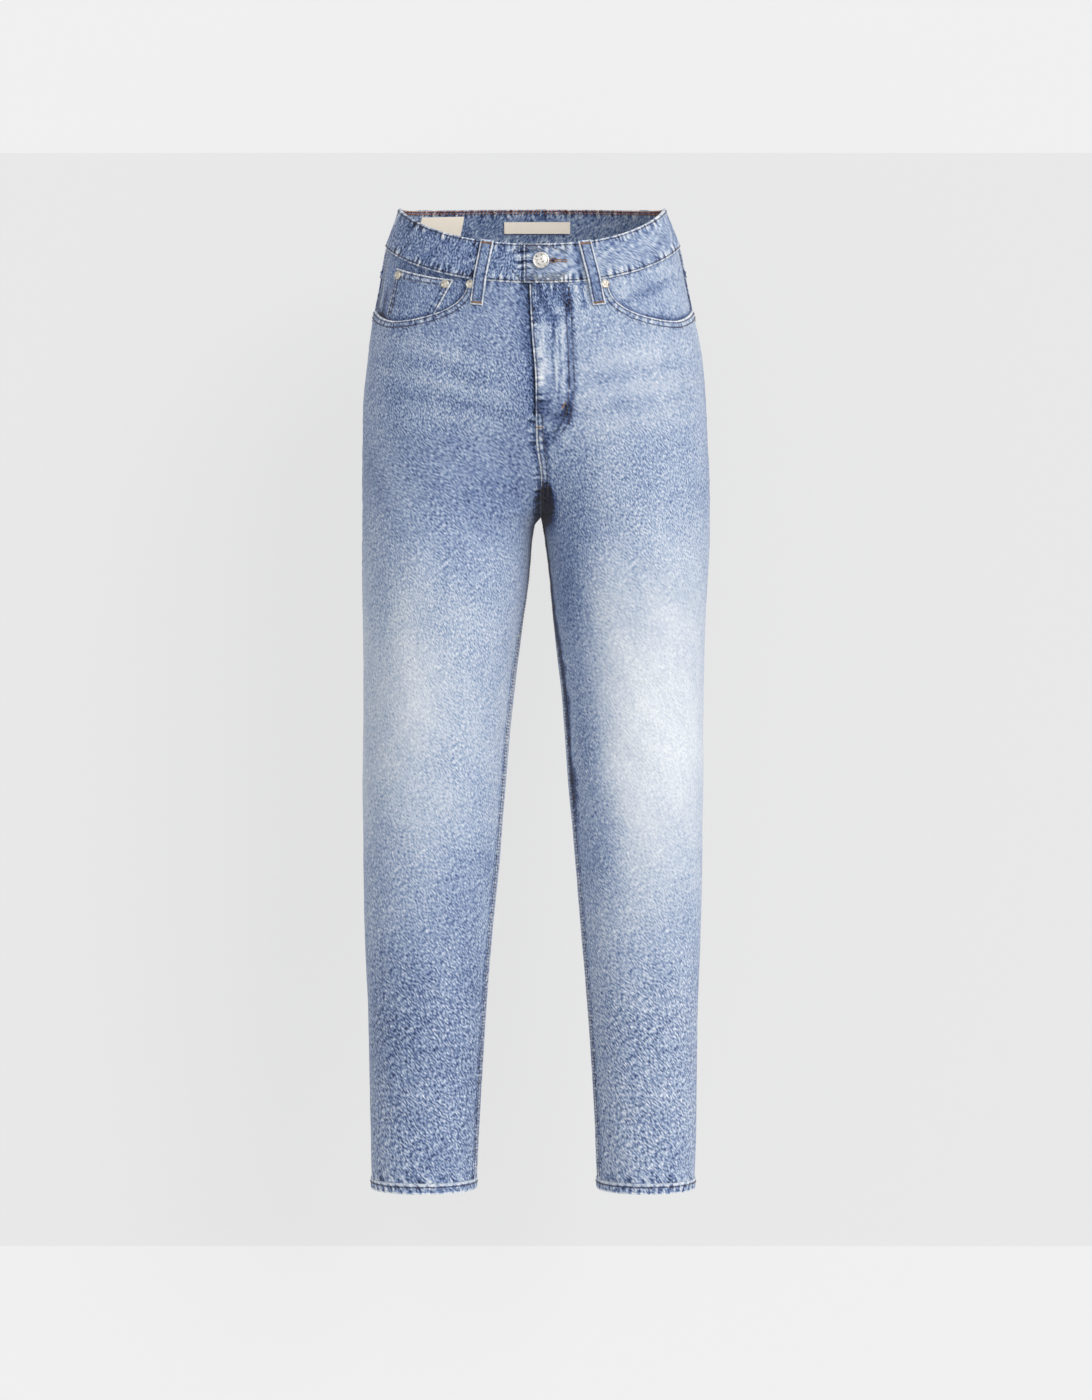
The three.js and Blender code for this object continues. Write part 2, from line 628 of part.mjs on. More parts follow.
const COIN_OUT = -DENIM - LAY_GAP;
const RIGHT_FACING_OUT = COIN_OUT - TRIM_CLOTH - LAY_GAP;
add('pocket_facing_right', pocketFacing(RIGHT, RIGHT_FACING_OUT), cloth(0x9fb3cf));
add('pocket_facing_left', pocketFacing(LEFT, -DENIM - LAY_GAP), cloth(0xa5b8d4));
add('coin_pocket', coinPocket(COIN_OUT), cloth(0x9aaecb));
add('zip', zip(), cloth(0x2c3550));

const FRONT_LOOPS = [
  { name: 'belt_loop_front_right', side: RIGHT, x: 54, lean: 4 },
  { name: 'belt_loop_front_left', side: LEFT, x: 44, lean: 8 },
];
for (const { name, side, x, lean } of FRONT_LOOPS) {
  add(name, beltLoop(side, frontTurnAt(side, x, 0), lean), cloth(0xa6b5cc));
}
const BACK_LOOPS = [
  { name: 'belt_loop_back_right', side: RIGHT, turn: 0.7 },
  { name: 'belt_loop_back_left', side: LEFT, turn: 0.7 },
  { name: 'belt_loop_centre', side: LEFT, turn: 1 },
];
for (const { name, side, turn } of BACK_LOOPS) {
  add(name, beltLoop(side, turn, 0), cloth(0xa6b5cc));
}

add('label_centre', insideLabel((i, part) => {
  const level = CENTRE_LABEL.top - CENTRE_LABEL.height * i;
  const across = CENTRE_LABEL.width * (part - 0.5) - CENTRE_LABEL.shift;
  return { side: LEFT, turn: 1 + across / clothPerTurn(LEFT, 0.99, level), level };
}), cloth(0xe6dccb));
add('label_side', insideLabel((i, part) => ({
  side: RIGHT,
  turn: lerp(SIDE_LABEL.to, SIDE_LABEL.from, part),
  level: SIDE_LABEL.top - SIDE_LABEL.height * i,
})), cloth(0xe6dccb));

const button = add('button', buttonGeometry(), metal(0xc9c7c4));
setOnCloth(button, LEFT, 0, BUTTON.level, BAND_PROUD + BAND_LAP + LAY_GAP);

const MOUTH_RIVET_LEVEL = -MOUTH_TOP - 1;
for (const side of [RIGHT, LEFT]) {
  const name = sideName(side);
  const rivet = add(`rivet_mouth_${name}`, rivetGeometry(), metal(0xb9b4ad));
  const turn = frontTurnAt(side, MOUTH_RIVET_X[name] - RIVET.fromMouth, MOUTH_RIVET_LEVEL);
  setOnCloth(rivet, side, turn, MOUTH_RIVET_LEVEL, LAY_GAP);
}
const COIN_RIVETS = [
  { name: 'rivet_coin_inner', share: COIN.innerTop + 0.055, level: -COIN.topInner - 6.5 },
  { name: 'rivet_coin_outer', share: COIN.outerTop - 0.05, level: -COIN.topOuter - 6 },
];
for (const { name, share, level } of COIN_RIVETS) {
  const rivet = add(name, rivetGeometry(), metal(0xb9b4ad));
  setOnCloth(rivet, RIGHT, mouthTurn(RIGHT, share, level), level, COIN_OUT + LAY_GAP);
}

export default group;
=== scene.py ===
import math

import bpy
import numpy as np
from mathutils import Matrix, Vector
from mathutils.bvhtree import BVHTree
from mathutils.kdtree import KDTree


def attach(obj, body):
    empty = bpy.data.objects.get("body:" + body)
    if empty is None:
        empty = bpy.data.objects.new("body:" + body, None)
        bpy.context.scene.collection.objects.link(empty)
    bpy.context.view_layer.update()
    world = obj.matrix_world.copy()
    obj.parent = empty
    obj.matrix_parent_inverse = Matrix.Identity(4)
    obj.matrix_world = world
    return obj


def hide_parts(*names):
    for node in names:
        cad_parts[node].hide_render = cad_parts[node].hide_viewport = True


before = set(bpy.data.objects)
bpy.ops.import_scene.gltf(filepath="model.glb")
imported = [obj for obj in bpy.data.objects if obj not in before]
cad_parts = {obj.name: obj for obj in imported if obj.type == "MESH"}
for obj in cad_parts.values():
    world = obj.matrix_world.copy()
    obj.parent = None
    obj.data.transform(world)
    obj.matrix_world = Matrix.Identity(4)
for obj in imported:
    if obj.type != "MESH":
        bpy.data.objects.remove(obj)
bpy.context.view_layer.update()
scene = bpy.context.scene

# Camera: level with the knees of the garment, 3.4 m in front of it, with a long lens, so that
# it stands at the photograph's angle and takes in the same frame.
CAMERA_PLACE = (0.0052, -3.4, -0.511)
CAMERA_LENS, CAMERA_SENSOR = 84.07, 36.0


def add_object(name, data):
    made = bpy.data.objects.new(name, data)
    scene.collection.objects.link(made)
    return made


camera_data = bpy.data.cameras.new("Camera")
camera_data.lens = CAMERA_LENS
camera_data.sensor_width = CAMERA_SENSOR
camera = add_object("Camera", camera_data)
camera.location = CAMERA_PLACE
camera.rotation_euler = (math.pi / 2, 0, 0)
scene.camera = camera
scene.view_settings.view_transform = "Standard"

# Studio: a pale floor below the hems, a pale wall close behind that takes a soft shadow
# and is clear from its back, one broad key light from the right, a weak fill from the left.
WALL_AT, WALL_HALF, WALL_TOP = 0.24, 6, 4
FLOOR_AT, FLOOR_HALF = -1.32, 9
WALL_GREY, FLOOR_GREY = 0.10, 0.80
WALL_GLOW, WALL_GLOW_BEYOND = 0.695, 0.755
PANEL_LOW, PANEL_HIGH = -1.119, 0.098
WORLD_GLOW = 0.56


def new_material(name):
    """A material with its node tree and its main shader."""
    material = bpy.data.materials.new(name)
    material.use_nodes = True
    return material, material.node_tree, material.node_tree.nodes["Principled BSDF"]


def feed(tree, fed, inputs):
    """Links or sets a node's inputs, by number or name."""
    for key, value in dict(inputs).items():
        if isinstance(value, bpy.types.NodeSocket):
            tree.links.new(value, fed.inputs[key])
        else:
            fed.inputs[key].default_value = value


def node(tree, kind, inputs=(), **settings):
    """A shader node with its settings and its inputs."""
    made = tree.nodes.new(kind)
    for key, value in settings.items():
        setattr(made, key, value)
    feed(tree, made, inputs)
    return made


def maths(tree, operation, *values):
    return node(tree, "ShaderNodeMath", dict(enumerate(values)), operation=operation).outputs[0]


def ranged(tree, value, low, high, to_low, to_high, smooth=False):
    ends = {"Value": value, "From Min": low, "From Max": high, "To Min": to_low, "To Max": to_high}
    kind = "SMOOTHSTEP" if smooth else "LINEAR"
    return node(tree, "ShaderNodeMapRange", ends, interpolation_type=kind).outputs["Result"]


def stage_material(name, grey, glow, clear_back):
    material, tree, shader = new_material(name)
    feed(tree, shader, {"Base Color": (grey, grey, grey, 1), "Roughness": 1.0,
                        "Specular IOR Level": 0.0, "Emission Color": (1, 1, 1, 1),
                        "Emission Strength": glow})
    if clear_back:
        place = node(tree, "ShaderNodeTexCoord").outputs["Object"]
        height = node(tree, "ShaderNodeSeparateXYZ", {0: place}).outputs["Z"]
        middle, half = (PANEL_LOW + PANEL_HIGH) / 2, (PANEL_HIGH - PANEL_LOW) / 2
        within = maths(tree, "COMPARE", height, middle, half)
        level = ranged(tree, within, 0, 1, WALL_GLOW_BEYOND, glow)
        feed(tree, shader, {"Emission Strength": level})
        back = node(tree, "ShaderNodeNewGeometry").outputs["Backfacing"]
        clear = node(tree, "ShaderNodeBsdfTransparent").outputs[0]
        mix = node(tree, "ShaderNodeMixShader", {0: back, 1: shader.outputs[0], 2: clear})
        feed(tree, tree.nodes["Material Output"], {"Surface": mix.outputs[0]})
    return material


def stage_plane(name, corners, material):
    mesh = bpy.data.meshes.new(name)
    mesh.from_pydata(corners, [], [(0, 1, 2, 3)])
    mesh.materials.append(material)
    add_object(name, mesh)


stage_plane("studio_wall", [(-WALL_HALF, WALL_AT, FLOOR_AT), (WALL_HALF, WALL_AT, FLOOR_AT),
                            (WALL_HALF, WALL_AT, WALL_TOP), (-WALL_HALF, WALL_AT, WALL_TOP)],
            stage_material("Studio wall", WALL_GREY, WALL_GLOW, True))
stage_plane("studio_floor", [(-FLOOR_HALF, -FLOOR_HALF, FLOOR_AT), (FLOOR_HALF, -FLOOR_HALF, FLOOR_AT),
                             (FLOOR_HALF, FLOOR_HALF, FLOOR_AT), (-FLOOR_HALF, FLOOR_HALF, FLOOR_AT)],
            stage_material("Studio floor", FLOOR_GREY, 0.0, False))


def sun(name, towards, strength, softness):
    """A far broad light that stands in the direction towards, seen from the garment."""
    light = bpy.data.lights.new(name, "SUN")
    light.energy = strength
    light.angle = math.radians(softness)
    add_object(name, light).rotation_euler = Vector(towards).to_track_quat("Z", "Y").to_euler()


sun("Key light", (0.95, -1.0, 0.75), 2.05, 38)
sun("Fill light", (-0.5, -1.0, 0.15), 0.50, 70)
world = bpy.data.worlds.new("Studio")
world.use_nodes = True
feed(world.node_tree, world.node_tree.nodes["Background"],
     {"Color": (1.0, 1.0, 1.0, 1), "Strength": WORLD_GLOW})
scene.world = world

# Front panels: one for each leg, from the waistband to the hem, with a scooped pocket mouth.
# Light-wash blue denim, a 3/1 twill 1.4 mm thick. The left one laps over the right at the fly,
# and both carry the felled inseam.
MM = 0.001
RIGHT, LEFT = -1, 1
DENIM = 1.4
SEAM_GAP = 0.3
HALF_GAP = SEAM_GAP / 2
CENTRE_GAP = 0.2
LAY_GAP = 0.7
BAND_HEIGHT = 40.0
FRONT_DIP, BACK_LIFT, DIP_SHAPE, LEVEL_AT = 49.0, 12.0, 1.5, -200.0
CROTCH = -318.0
FRONT_RISE_TOP, BACK_RISE_TOP = -200.0, -190.0
FRONT_RISE_SHAPE, BACK_RISE_SHAPE, RISE_REACH = 0.33, 0.4, 0.14
THIGH_LOW, THIGH_HIGH = -400.0, -190.0
HIP_SQUARENESS, LEG_SQUARENESS = 2.25, 2.1
INSEAM_TURN = math.radians(15)
INSEAM_LOW, INSEAM_HIGH = -500.0, -330.0
OUTSEAM_HIP, OUTSEAM_LEG = 0.492, 0.48


def table(columns, rows):
    """A table as one array for each named column."""
    return dict(zip(columns.split(), np.array(rows, float).T))


# Distance of each side, of the front and of the back from the centre line, by level
HIP_SECTIONS = table("level right left front back widest", [
    (10, 146, 128, 88, 87, 0),
    (0, 147, 129, 89, 89, 0),
    (-15, 152, 134.5, 90, 93, 1),
    (-40, 161, 144, 92, 101, 3),
    (-80, 168, 152.5, 96, 116, 7),
    (-120, 175.5, 161, 99, 130, 10),
    (-160, 180.5, 168.5, 101, 141, 13),
    (-200, 185, 172, 101, 148, 15),
    (-250, 186, 174, 99, 148, 16),
    (-318, 186, 176, 95, 138, 15),
    (-420, 186, 171, 88, 112, 9),
])
# Inner and outer edge of each leg, half its depth, and how far its middle lies back
LEG_SECTIONS = table("level right_in right_out left_in left_out half middle", [
    (-150, 0, 180, 0, 167, 112, 16),
    (-250, 0, 186, 0, 174, 109, 16),
    (-318, 0, 186, 0, 176, 103, 14.5),
    (-328, 7, 186, 2.5, 176, 102, 14),
    (-344, 10, 186, 5, 176, 100, 13),
    (-386, 13, 186, 9.5, 173.5, 96, 10),
    (-427, 18, 185.5, 12.5, 171, 91, 8),
    (-511, 28.5, 184.5, 21.5, 169, 80, 3),
    (-594, 36, 185, 28, 168.5, 73, 0),
    (-677, 42.5, 184.5, 35, 167.5, 66, 1),
    (-760, 51, 183, 42, 166, 62, 6),
    (-843, 57.5, 180, 49, 163, 58.5, 11),
    (-927, 62.5, 178, 54.5, 162, 55, 13),
    (-1020, 67.5, 176.5, 58.5, 160, 51.5, 12),
])
# The left front folds back to this distance on the wearer's right of the centre line
FLY_FOLD = table("level fold", [
    (-40, 11.4),
    (-130, 8.3),
    (-185, 5.4),
    (-250, 4.4),
    (-284, 0),
    (-1020, 0),
])
# Main creases: soft troughs from one end to the other; face is -1 in front and 1 behind
FOLDS = table("face x0 z0 x1 z1 width depth", [
    (-1, -30, -268, -150, -205, 14, 2.2),
    (-1, -40, -240, -160, -172, 13, 1.6),
    (-1, 34, -266, 150, -214, 14, 2.0),
    (-1, 44, -232, 158, -180, 12, 1.5),
    (-1, -18, -300, -96, -352, 15, 2.4),
    (-1, 18, -304, 84, -348, 15, 2.2),
    (-1, -60, -560, -150, -604, 18, 1.6),
    (-1, 54, -566, 140, -598, 18, 1.4),
    (1, -40, -322, -150, -300, 16, 3.0),
    (1, 40, -324, 146, -304, 16, 3.0),
    (1, -52, -640, -160, -676, 17, 2.6),
    (1, 46, -644, 150, -672, 17, 2.6),
    (1, -60, -690, -150, -652, 14, 1.8),
    (1, 54, -694, 142, -658, 14, 1.8),
])
# Finer creases of the washed cloth, laid over the main ones
FINE_FOLDS = table("face x0 z0 x1 z1 width depth", [
    (-1, -24, -246, -118, -160, 6, 0.9),
    (-1, -34, -216, -150, -142, 7, 0.8),
    (-1, -22, -286, -132, -262, 7, 1.0),
    (-1, -28, -332, -120, -392, 8, 0.9),
    (-1, 40, -250, 122, -176, 6, 0.8),
    (-1, 46, -206, 150, -150, 7, 0.7),
    (-1, 20, -290, 128, -268, 7, 0.9),
    (-1, 22, -336, 112, -386, 8, 0.9),
    (-1, -64, -480, -146, -512, 9, 0.7),
    (-1, -58, -640, -150, -618, 8, 0.8),
    (-1, -70, -724, -160, -742, 9, 0.7),
    (-1, 40, -486, 132, -508, 9, 0.7),
    (-1, 50, -650, 140, -630, 8, 0.8),
    (-1, 60, -736, 146, -752, 9, 0.6),
    (-1, -82, -942, -150, -960, 8, 0.8),
    (-1, 72, -950, 140, -936, 8, 0.8),
    (1, -24, -300, -118, -258, 8, 1.0),
    (1, 24, -300, 112, -256, 8, 1.0),
    (1, -60, -356, -150, -340, 9, 1.2),
    (1, 54, -360, 146, -344, 9, 1.2),
    (1, -58, -612, -150, -636, 8, 1.2),
    (1, 50, -618, 142, -640, 8, 1.2),
    (1, -66, -730, -150, -700, 9, 1.0),
    (1, 58, -738, 140, -706, 9, 1.0),
    (1, -84, -930, -156, -956, 9, 0.9),
    (1, 76, -940, 140, -962, 9, 0.9),
])


def lerp(start, end, part):
    return start + (end - start) * part


def ease(low, high, value):
    part = np.clip((value - low) / (high - low), 0, 1)
    return part * part * (3 - 2 * part)


def close_to(gap, width, power=2):
    """1 where the gap is nothing, and hardly anything at twice the width."""
    return np.exp(-(gap / width) ** power)


def column(rows, name, level):
    """Smooth value of one column of a table at each level, through its rows."""
    levels, values = rows["level"], rows[name]
    last = len(levels) - 1
    level = np.asarray(level, float)
    row = np.searchsorted(-levels[1:last], -level, side="left")
    span = levels[row + 1] - levels[row]
    part = np.clip((level - levels[row]) / span, 0, 1)

    def slope(low, high):
        low, high = np.maximum(low, 0), np.minimum(high, last)
        return (values[high] - values[low]) / (levels[high] - levels[low]) * span

    square = part * part
    cube = square * part
    return ((2 * cube - 3 * square + 1) * values[row]
            + (cube - 2 * square + part) * slope(row - 1, row + 1)
            + (3 * square - 2 * cube) * values[row + 1]
            + (cube - square) * slope(row, row + 2))


def squareness(angle, power):
    return (np.abs(np.cos(angle)) ** power + np.abs(np.sin(angle)) ** power) ** (-1 / power)


def pick(rows, half, name, level):
    """Value of the right or left column, as half says."""
    right = column(rows, "right" + name, level)
    left = column(rows, "left" + name, level)
    return np.where(half == RIGHT, right, left)


def smooth_point(side, turn, level):
    """Point of the smooth outer surface: turn 0 is the centre front or the inseam, and goes
    round outside to 1."""
    turn, level = np.broadcast_arrays(np.asarray(turn, float), np.asarray(level, float))
    above = level > CROTCH
    crossed = above & ((turn < 0) | (turn > 1))
    half = np.where(crossed, -side, side)
    round_hip = np.where(turn < 0, -turn, np.where(turn > 1, 2 - turn, turn))
    place = np.where(above, round_hip, turn - np.floor(turn))
    angle = math.pi * place
    round_out = squareness(angle, HIP_SQUARENESS)
    widest = column(HIP_SECTIONS, "widest", level)
    forward = np.cos(angle) * round_out
    reach = np.where(forward > 0, column(HIP_SECTIONS, "front", level) + widest,
                     column(HIP_SECTIONS, "back", level) - widest)
    hip_x = pick(HIP_SECTIONS, half, "", level) * np.sin(angle) * round_out
    hip_y = widest - forward * reach
    inseam = INSEAM_TURN * (1 - ease(INSEAM_LOW, INSEAM_HIGH, level))
    leg_angle = 2 * math.pi * place + inseam
    leg_round = squareness(leg_angle, LEG_SQUARENESS)
    inner = np.maximum(pick(LEG_SECTIONS, half, "_in", level), 0)
    outer = pick(LEG_SECTIONS, half, "_out", level)
    leg_x = (inner + outer) / 2 - (outer - inner) / 2 * np.cos(leg_angle) * leg_round
    half_depth = column(LEG_SECTIONS, "half", level)
    leg_y = column(LEG_SECTIONS, "middle", level) - half_depth * np.sin(leg_angle) * leg_round
    body = ease(THIGH_LOW, THIGH_HIGH, level)
    front = place < 0.5
    rise_top = np.where(front, FRONT_RISE_TOP, BACK_RISE_TOP)
    shape = np.where(front, FRONT_RISE_SHAPE, BACK_RISE_SHAPE)
    seam = np.clip((level - CROTCH) / (rise_top - CROTCH), 0, 1) ** shape
    share = lerp(seam, body, ease(0, RISE_REACH, np.where(front, place, 1 - place)))
    tilt = np.where(forward > 0, -FRONT_DIP, BACK_LIFT)
    slant = tilt * np.abs(forward) ** DIP_SHAPE * ease(LEVEL_AT, -BAND_HEIGHT, level)
    across = half * (CENTRE_GAP + lerp(leg_x, hip_x, share))
    return np.stack([across, lerp(leg_y, hip_y, share), level + slant], -1)


def trough(rows, x, z, facing):
    """Depth of a table's creases at points whose faces look forward (-1) or back (1)."""
    depth = np.zeros_like(x)
    for face, x0, z0, x1, z1, width, deep in zip(*rows.values()):
        dx, dz = x1 - x0, z1 - z0
        along = np.clip(((x - x0) * dx + (z - z0) * dz) / (dx * dx + dz * dz), 0, 1)
        gap = np.hypot(x - x0 - along * dx, z - z0 - along * dz)
        facing_it = np.maximum(face * facing, 0)
        depth += facing_it * np.sin(math.pi * lerp(0.12, 0.88, along)) * deep * close_to(gap, width)
    return depth


def skin(side, turn, level):
    """Point of the cloth's outer face and the level direction out of it."""
    step = 0.004
    point = smooth_point(side, turn, level)
    turn, level = np.broadcast_arrays(np.asarray(turn, float), np.asarray(level, float))
    at_seam = (level > CROTCH) & (np.abs(turn - np.round(turn)) < step / 2)
    middle = np.where(at_seam, np.round(turn), turn)
    tangent = smooth_point(side, middle + step, level) - smooth_point(side, middle - step, level)
    tangent[..., 2] = 0
    tangent /= np.linalg.norm(tangent, axis=-1, keepdims=True)
    level_way = np.zeros_like(tangent[..., 0])
    outward = np.stack([tangent[..., 1] * side, -tangent[..., 0] * side, level_way], -1)
    crease = trough(FOLDS, point[..., 0], point[..., 2], outward[..., 1])
    return point - outward * crease[..., None], outward


def cloth_per_turn(side, turn, level):
    step = 0.003
    return np.linalg.norm(skin(side, turn + step, level)[0] - skin(side, turn, level)[0], axis=-1) / step


def front_turn_at(side, x, level):
    """Turn at which the front of one side reaches a distance from the centre line."""
    level = np.asarray(level, float)
    low, high = np.zeros_like(level), np.full_like(level, 0.5)
    for _ in range(24):
        middle = (low + high) / 2
        short = np.abs(smooth_point(side, middle, level)[..., 0]) < x
        low, high = np.where(short, middle, low), np.where(short, high, middle)
    return low


def outseam_turn(level):
    return lerp(OUTSEAM_LEG, OUTSEAM_HIP, ease(THIGH_LOW, THIGH_HIGH, level))


# Pocket mouths: the curve of the cut edge, from the rivet to the outseam
MOUTH_RIVET_X = {RIGHT: 74.6, LEFT: 68.0}
MOUTH_TOP, MOUTH_DEPTH, MOUTH_SHAPE, MOUTH_BOTTOM_AT, MOUTH_SIDE_LIFT = 45.0, 66.0, 1.7, 0.55, 6.0


def mouth_level(share):
    reach = np.clip(share / MOUTH_BOTTOM_AT, 0, 1)
    scoop = (1 - (1 - reach) ** MOUTH_SHAPE) ** (1 / MOUTH_SHAPE)
    return -MOUTH_TOP - MOUTH_DEPTH * scoop + MOUTH_SIDE_LIFT * ease(MOUTH_BOTTOM_AT, 1, share)


def mouth_turn(side, share, level):
    rivet = front_turn_at(side, MOUTH_RIVET_X[side], level)
    end = outseam_turn(level) - HALF_GAP / cloth_per_turn(side, 0.5, level)
    return lerp(rivet, end, share)


# The fly: the left front lies on an underlap of the right one, down to the end of the zip
FLY_LAP = DENIM + SEAM_GAP
FLY_END, FLY_FADE, UNDERLAP = -222.0, 12.0, 6.0
FLY_STITCH_INNER, FLY_STITCH_OUTER = 20.0, 30.0


def front_edge_turn(side, level):
    fold = np.maximum(column(FLY_FOLD, "fold", level), 0)
    per_turn = cloth_per_turn(RIGHT, 0.003, level)
    if side == LEFT:
        return (HALF_GAP - fold) / per_turn
    under = ease(FLY_END - FLY_FADE / 2, FLY_END + FLY_FADE / 2, level)
    return lerp(fold + HALF_GAP, -UNDERLAP, under) / per_turn


def fly_lift(side, turn, level):
    if side == RIGHT:
        return np.zeros_like(turn)
    x = turn * cloth_per_turn(side, 0.003, level)
    return FLY_LAP * ease(FLY_END - 2 * FLY_FADE, FLY_END - FLY_FADE, level) * (
        1 - ease(FLY_STITCH_INNER, FLY_STITCH_OUTER, x))


def soft_noise(u, v, seed):
    """Smooth noise from -1 to 1 over cells of one unit."""
    size = 64
    lattice = np.random.RandomState(seed).uniform(-1, 1, (size, size))
    cell_u, cell_v = np.floor(u).astype(int), np.floor(v).astype(int)
    part_u, part_v = u - cell_u, v - cell_v
    part_u, part_v = part_u * part_u * (3 - 2 * part_u), part_v * part_v * (3 - 2 * part_v)
    u0, u1, v0, v1 = cell_u % size, (cell_u + 1) % size, cell_v % size, (cell_v + 1) % size
    low, high = (lerp(lattice[u0, v], lattice[u1, v], part_u) for v in (v0, v1))
    return lerp(low, high, part_v)


# Places of the two extra lines beside each edge, in shares of a pitch
EDGE_LINES, LOOP_EDGE_LINES = (0.25, 0.6), (0.3, 0.65)


def spaced(count, finer=(0.2, 0.55)):
    """Shares from 0 to 1 with closer lines at both ends."""
    even = np.linspace(0, 1, count)
    pitch = even[1]
    extra = [pitch * part for part in finer]
    return np.sort(np.concatenate([even, extra, [1 - e for e in extra]]))


def cloth_map(points):
    """Width and height coordinates of the cloth in millimetres, for the weave."""
    steps = np.linalg.norm(np.diff(points, axis=1), axis=-1)
    across = np.concatenate([np.zeros((len(points), 1)), np.cumsum(steps, axis=1)], axis=1)
    across -= across[:, across.shape[1] // 2][:, None]
    return np.stack([across, points[..., 2]], -1)


def along_lines(points, lines):
    """Distance of each point from the nearest line, and its place along that line."""
    samples, places = [], []
    start = 0.0
    for line in lines:
        line = np.asarray(line)
        lengths = np.concatenate([[0], np.cumsum(np.linalg.norm(np.diff(line, axis=0), axis=-1))])
        count = max(int(lengths[-1] / 0.8), 2)
        spots = np.linspace(0, lengths[-1], count)
        samples.append(np.stack([np.interp(spots, lengths, line[:, k]) for k in range(3)], -1))
        places.append(spots + start)
        start += lengths[-1] + 40
    samples, places = np.concatenate(samples), np.concatenate(places)
    tree = KDTree(len(samples))
    for index, sample in enumerate(samples):
        tree.insert(sample, index)
    tree.balance()
    flat = points.reshape(-1, 3)
    found = [tree.find(p) for p in flat]
    gap = np.array([f[2] for f in found]).reshape(points.shape[:-1])
    place = places[[f[1] for f in found]].reshape(points.shape[:-1])
    return gap, place


def gap_from(points, *lines):
    return along_lines(points, lines)[0]


# Fading: how worn the cloth is at each level, pale spots and strokes, with painted light and shade laid
# in; 0 is blue and 1 is nearly white
# The wearer's left leg is paler than the right partly as painted light, on the side the key light comes
# from
FADE_AND_LIGHT_LEVELS = table("level right left", [
    (20, 0.18, 0.46),
    (-60, 0.22, 0.50),
    (-130, 0.33, 0.50),
    (-220, 0.30, 0.45),
    (-320, 0.35, 0.46),
    (-420, 0.54, 0.62),
    (-560, 0.61, 0.73),
    (-660, 0.48, 0.60),
    (-740, 0.38, 0.50),
    (-820, 0.30, 0.42),
    (-940, 0.30, 0.41),
    (-1025, 0.34, 0.44),
])
# The dark spots down the inner edge of the wearer's left leg and beside the fork are painted shade,
# partly darker unworn cloth
SPOTS = table("face x z wide high wear", [
    (-1, -128, -500, 34, 130, 0.16),
    (-1, -112, -640, 26, 70, 0.10),
    (-1, 122, -500, 52, 160, 0.20),
    (-1, 112, -650, 40, 80, 0.12),
    (-1, 120, -190, 60, 50, 0.08),
    (-1, -50, -312, 50, 44, -0.10),
    (-1, 34, -330, 30, 36, -0.12),
    (-1, -100, -574, 26, 26, -0.14),
    (-1, -36, -430, 26, 90, -0.01),
    (-1, -60, -560, 24, 70, -0.02),
    (-1, -78, -690, 30, 34, -0.10),
    (-1, 26, -420, 20, 90, -0.35),
    (-1, 44, -560, 20, 90, -0.38),
    (-1, 60, -660, 22, 60, -0.20),
    (-1, -140, -860, 40, 70, -0.06),
    (-1, 92, -800, 40, 50, 0.06),
    (1, -100, -470, 44, 140, 0.14),
    (1, 92, -470, 44, 140, 0.14),
    (1, -88, -210, 54, 50, 0.12),
    (1, 82, -210, 54, 50, 0.12),
    (1, -110, -840, 40, 120, -0.05),
    (1, 100, -840, 40, 120, -0.05),
])
STROKES = table("face x0 z0 x1 z1 width wear", [
    (-1, -40, -178, -160, -140, 9, 0.16),
    (-1, -34, -206, -162, -176, 9, 0.19),
    (-1, -30, -236, -160, -212, 10, 0.11),
    (-1, -36, -192, -150, -158, 5, -0.08),
    (-1, -30, -222, -150, -196, 5, -0.08),
    (-1, 42, -176, 160, -146, 9, 0.14),
    (-1, 40, -206, 164, -182, 9, 0.15),
    (-1, 30, -238, 160, -216, 10, 0.10),
    (-1, 44, -190, 150, -164, 5, -0.07),
    (-1, 36, -222, 150, -200, 5, -0.07),
    (1, -30, -318, -150, -296, 10, 0.12),
    (1, 30, -318, 146, -298, 10, 0.12),
    (1, -56, -656, -150, -688, 9, 0.14),
    (1, 50, -660, 144, -690, 9, 0.14),
])


def wear_and_painted_light(points, outward):
    """Fade of the cloth at each point, from the level, the spots and the strokes, with painted light and
    shade laid in.
    """
    x, z, facing = points[..., 0], points[..., 2], outward[..., 1]
    wearer_left = 0.5 + (ease(-30, 30, x) - 0.5) * np.clip(0.4 - facing, 0, 1)
    wear = lerp(column(FADE_AND_LIGHT_LEVELS, "right", z), column(FADE_AND_LIGHT_LEVELS, "left", z), wearer_left)
    for face, sx, sz, wide, high, amount in zip(*SPOTS.values()):
        near = np.exp(-((x - sx) / wide) ** 2 - ((z - sz) / high) ** 2)
        wear = wear + amount * near * np.clip(face * facing * 1.6 + 0.45, 0, 1)
    return wear + trough(STROKES, x, z, facing)


